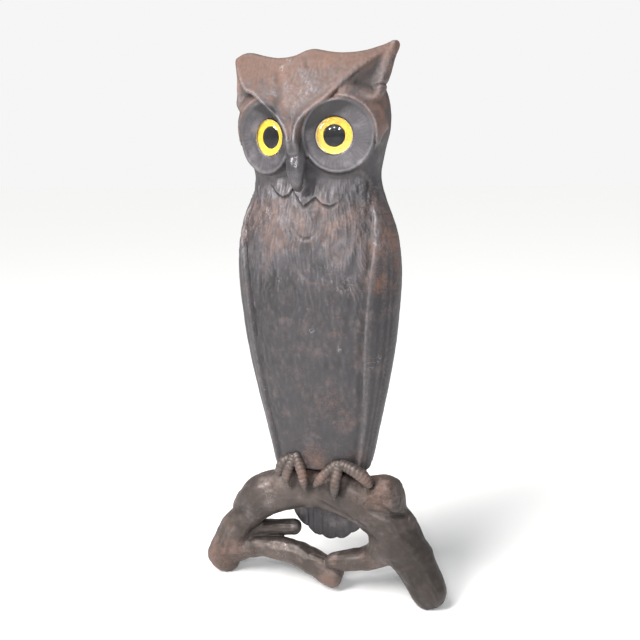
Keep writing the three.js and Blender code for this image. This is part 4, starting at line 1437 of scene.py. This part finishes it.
def build_stage(colours):
    camera = bpy.data.objects.new("camera", bpy.data.cameras.new("camera"))
    bpy.context.scene.collection.objects.link(camera)
    camera.matrix_world = (
        TO_ROW @ Matrix.Translation(CAMERA_FROM) @ Matrix.Scale(1 / MM, 4)
        @ Matrix.Rotation(CAMERA_TURN, 4, "Z")
        @ Matrix.Rotation(math.pi / 2 - CAMERA_PITCH, 4, "X")
        @ Matrix.Rotation(CAMERA_ROLL, 4, "Z")
    )
    camera.data.sensor_width = 36
    camera.data.lens = CAMERA_LENS
    camera.data.clip_start, camera.data.clip_end = 0.01, 50
    bpy.context.scene.camera = camera

    mesh = bpy.data.meshes.new("floor")
    corners = [(FLOOR_HALF * x, FLOOR_HALF * y, 0) for x, y in ((-1, -1), (1, -1), (1, 1), (-1, 1))]
    mesh.from_pydata(corners, [], [(0, 1, 2, 3)])
    floor = bpy.data.objects.new("floor", mesh)
    bpy.context.scene.collection.objects.link(floor)
    finish = Finish("floor_paint")
    finish.set(Base_Color=(*colours.floor, 1), Roughness=0.9)
    mesh.materials.append(finish.material)

    sun = bpy.data.lights.new("window_light", "SUN")
    sun.energy, sun.angle, sun.color = SUN_STRENGTH, SUN_WIDTH, (1.0, 0.985, 0.965)
    holder = bpy.data.objects.new("window_light", sun)
    holder.rotation_euler = SUN_WAY.to_track_quat("-Z", "Y").to_euler()
    bpy.context.scene.collection.objects.link(holder)
    lamp("key_softbox", (-0.47, -0.93, 0.94), 0.5, 15, (1.0, 0.985, 0.97))
    for name, place in BULBS.items():
        lamp(name, place, BULB_SIZE, BULB_POWER, (1, 1, 1))

    world = bpy.data.worlds.new("studio")
    bpy.context.scene.world = world
    world.use_nodes = True
    nodes, links = world.node_tree.nodes, world.node_tree.links
    lighting = nodes["Background"]
    lighting.inputs["Color"].default_value = (0.96, 0.98, 1, 1)
    lighting.inputs["Strength"].default_value = SKY_STRENGTH
    seen = nodes.new("ShaderNodeBackground")
    seen.inputs["Color"].default_value = (1, 1, 1, 1)
    seen.inputs["Strength"].default_value = BACKDROP_STRENGTH
    choice, path = nodes.new("ShaderNodeMixShader"), nodes.new("ShaderNodeLightPath")
    links.new(path.outputs["Is Camera Ray"], choice.inputs[0])
    links.new(lighting.outputs[0], choice.inputs[1])
    links.new(seen.outputs[0], choice.inputs[2])
    links.new(choice.outputs[0], nodes["World Output"].inputs["Surface"])
    bpy.context.scene.view_settings.view_transform = "Standard"


# ------------------------------------------------------------------ the add-on


def sizes_now(context):
    return context.scene.owl_sizes


def colours_now(context):
    return context.scene.owl_colours


class OWL_OT_stage(bpy.types.Operator):
    """Adds the camera, the floor and the studio lights"""

    bl_idname = "owl.stage"
    bl_label = "Set the stage"

    def execute(self, context):
        build_stage(colours_now(context))
        return {"FINISHED"}


class OWL_OT_owl(bpy.types.Operator):
    """Models the owl's hollow iron casting"""

    bl_idname = "owl.cast_owl"
    bl_label = "Cast the owl"

    def execute(self, context):
        build_owl(sizes_now(context), colours_now(context))
        return {"FINISHED"}


class OWL_OT_branch(bpy.types.Operator):
    """Models the forked branch casting with the owl's toes on it"""

    bl_idname = "owl.cast_branch"
    bl_label = "Cast the branch"

    def execute(self, context):
        build_branch(sizes_now(context), colours_now(context))
        return {"FINISHED"}


class OWL_OT_rear_leg(bpy.types.Operator):
    """Models the rear leg that is bolted over the tail"""

    bl_idname = "owl.forge_rear_leg"
    bl_label = "Forge the rear leg"

    def execute(self, context):
        build_rear_leg(colours_now(context))
        return {"FINISHED"}


class OWL_OT_leg_fasteners(bpy.types.Operator):
    """Models the two square-headed bolts and their washers"""

    bl_idname = "owl.fit_leg_bolts"
    bl_label = "Fit the leg bolts"

    def execute(self, context):
        build_leg_fasteners(colours_now(context))
        return {"FINISHED"}


class OWL_OT_eyes(bpy.types.Operator):
    """Turns the glass domes, the enamel rings and spots, and the felt pads"""

    bl_idname = "owl.turn_eyes"
    bl_label = "Turn the eyes"

    def execute(self, context):
        build_eyes(colours_now(context))
        return {"FINISHED"}


class OWL_OT_eye_fixings(bpy.types.Operator):
    """Models the straps behind the eyes and their slotted screws"""

    bl_idname = "owl.fit_eye_straps"
    bl_label = "Fit the eye straps"

    def execute(self, context):
        build_eye_fixings(colours_now(context))
        return {"FINISHED"}


STEPS = (
    OWL_OT_stage, OWL_OT_owl, OWL_OT_branch, OWL_OT_rear_leg, OWL_OT_leg_fasteners,
    OWL_OT_eyes, OWL_OT_eye_fixings,
)


class OWL_PT_panel(bpy.types.Panel):
    """Lists the owl's steps, sizes and colours"""

    bl_idname = "OWL_PT_panel"
    bl_label = "Owl Andiron Front"
    bl_space_type = "VIEW_3D"
    bl_region_type = "UI"
    bl_category = "Owl"

    def draw(self, context):
        for step in STEPS:
            self.layout.operator(step.bl_idname)
        for group in (sizes_now(context), colours_now(context)):
            box = self.layout.box()
            for name in group.__annotations__:
                box.prop(group, name)


CLASSES = (OwlSizes, OwlColours, *STEPS, OWL_PT_panel)


def register():
    for made in CLASSES:
        bpy.utils.register_class(made)
    bpy.types.Scene.owl_sizes = bpy.props.PointerProperty(type=OwlSizes)
    bpy.types.Scene.owl_colours = bpy.props.PointerProperty(type=OwlColours)


def unregister():
    del bpy.types.Scene.owl_sizes
    del bpy.types.Scene.owl_colours
    for made in reversed(CLASSES):
        bpy.utils.unregister_class(made)


def main():
    register()
    bpy.ops.owl.stage()
    bpy.ops.owl.cast_owl()
    bpy.ops.owl.cast_branch()
    bpy.ops.owl.forge_rear_leg()
    bpy.ops.owl.fit_leg_bolts()
    bpy.ops.owl.turn_eyes()
    bpy.ops.owl.fit_eye_straps()


if __name__ == "__main__":
    main()
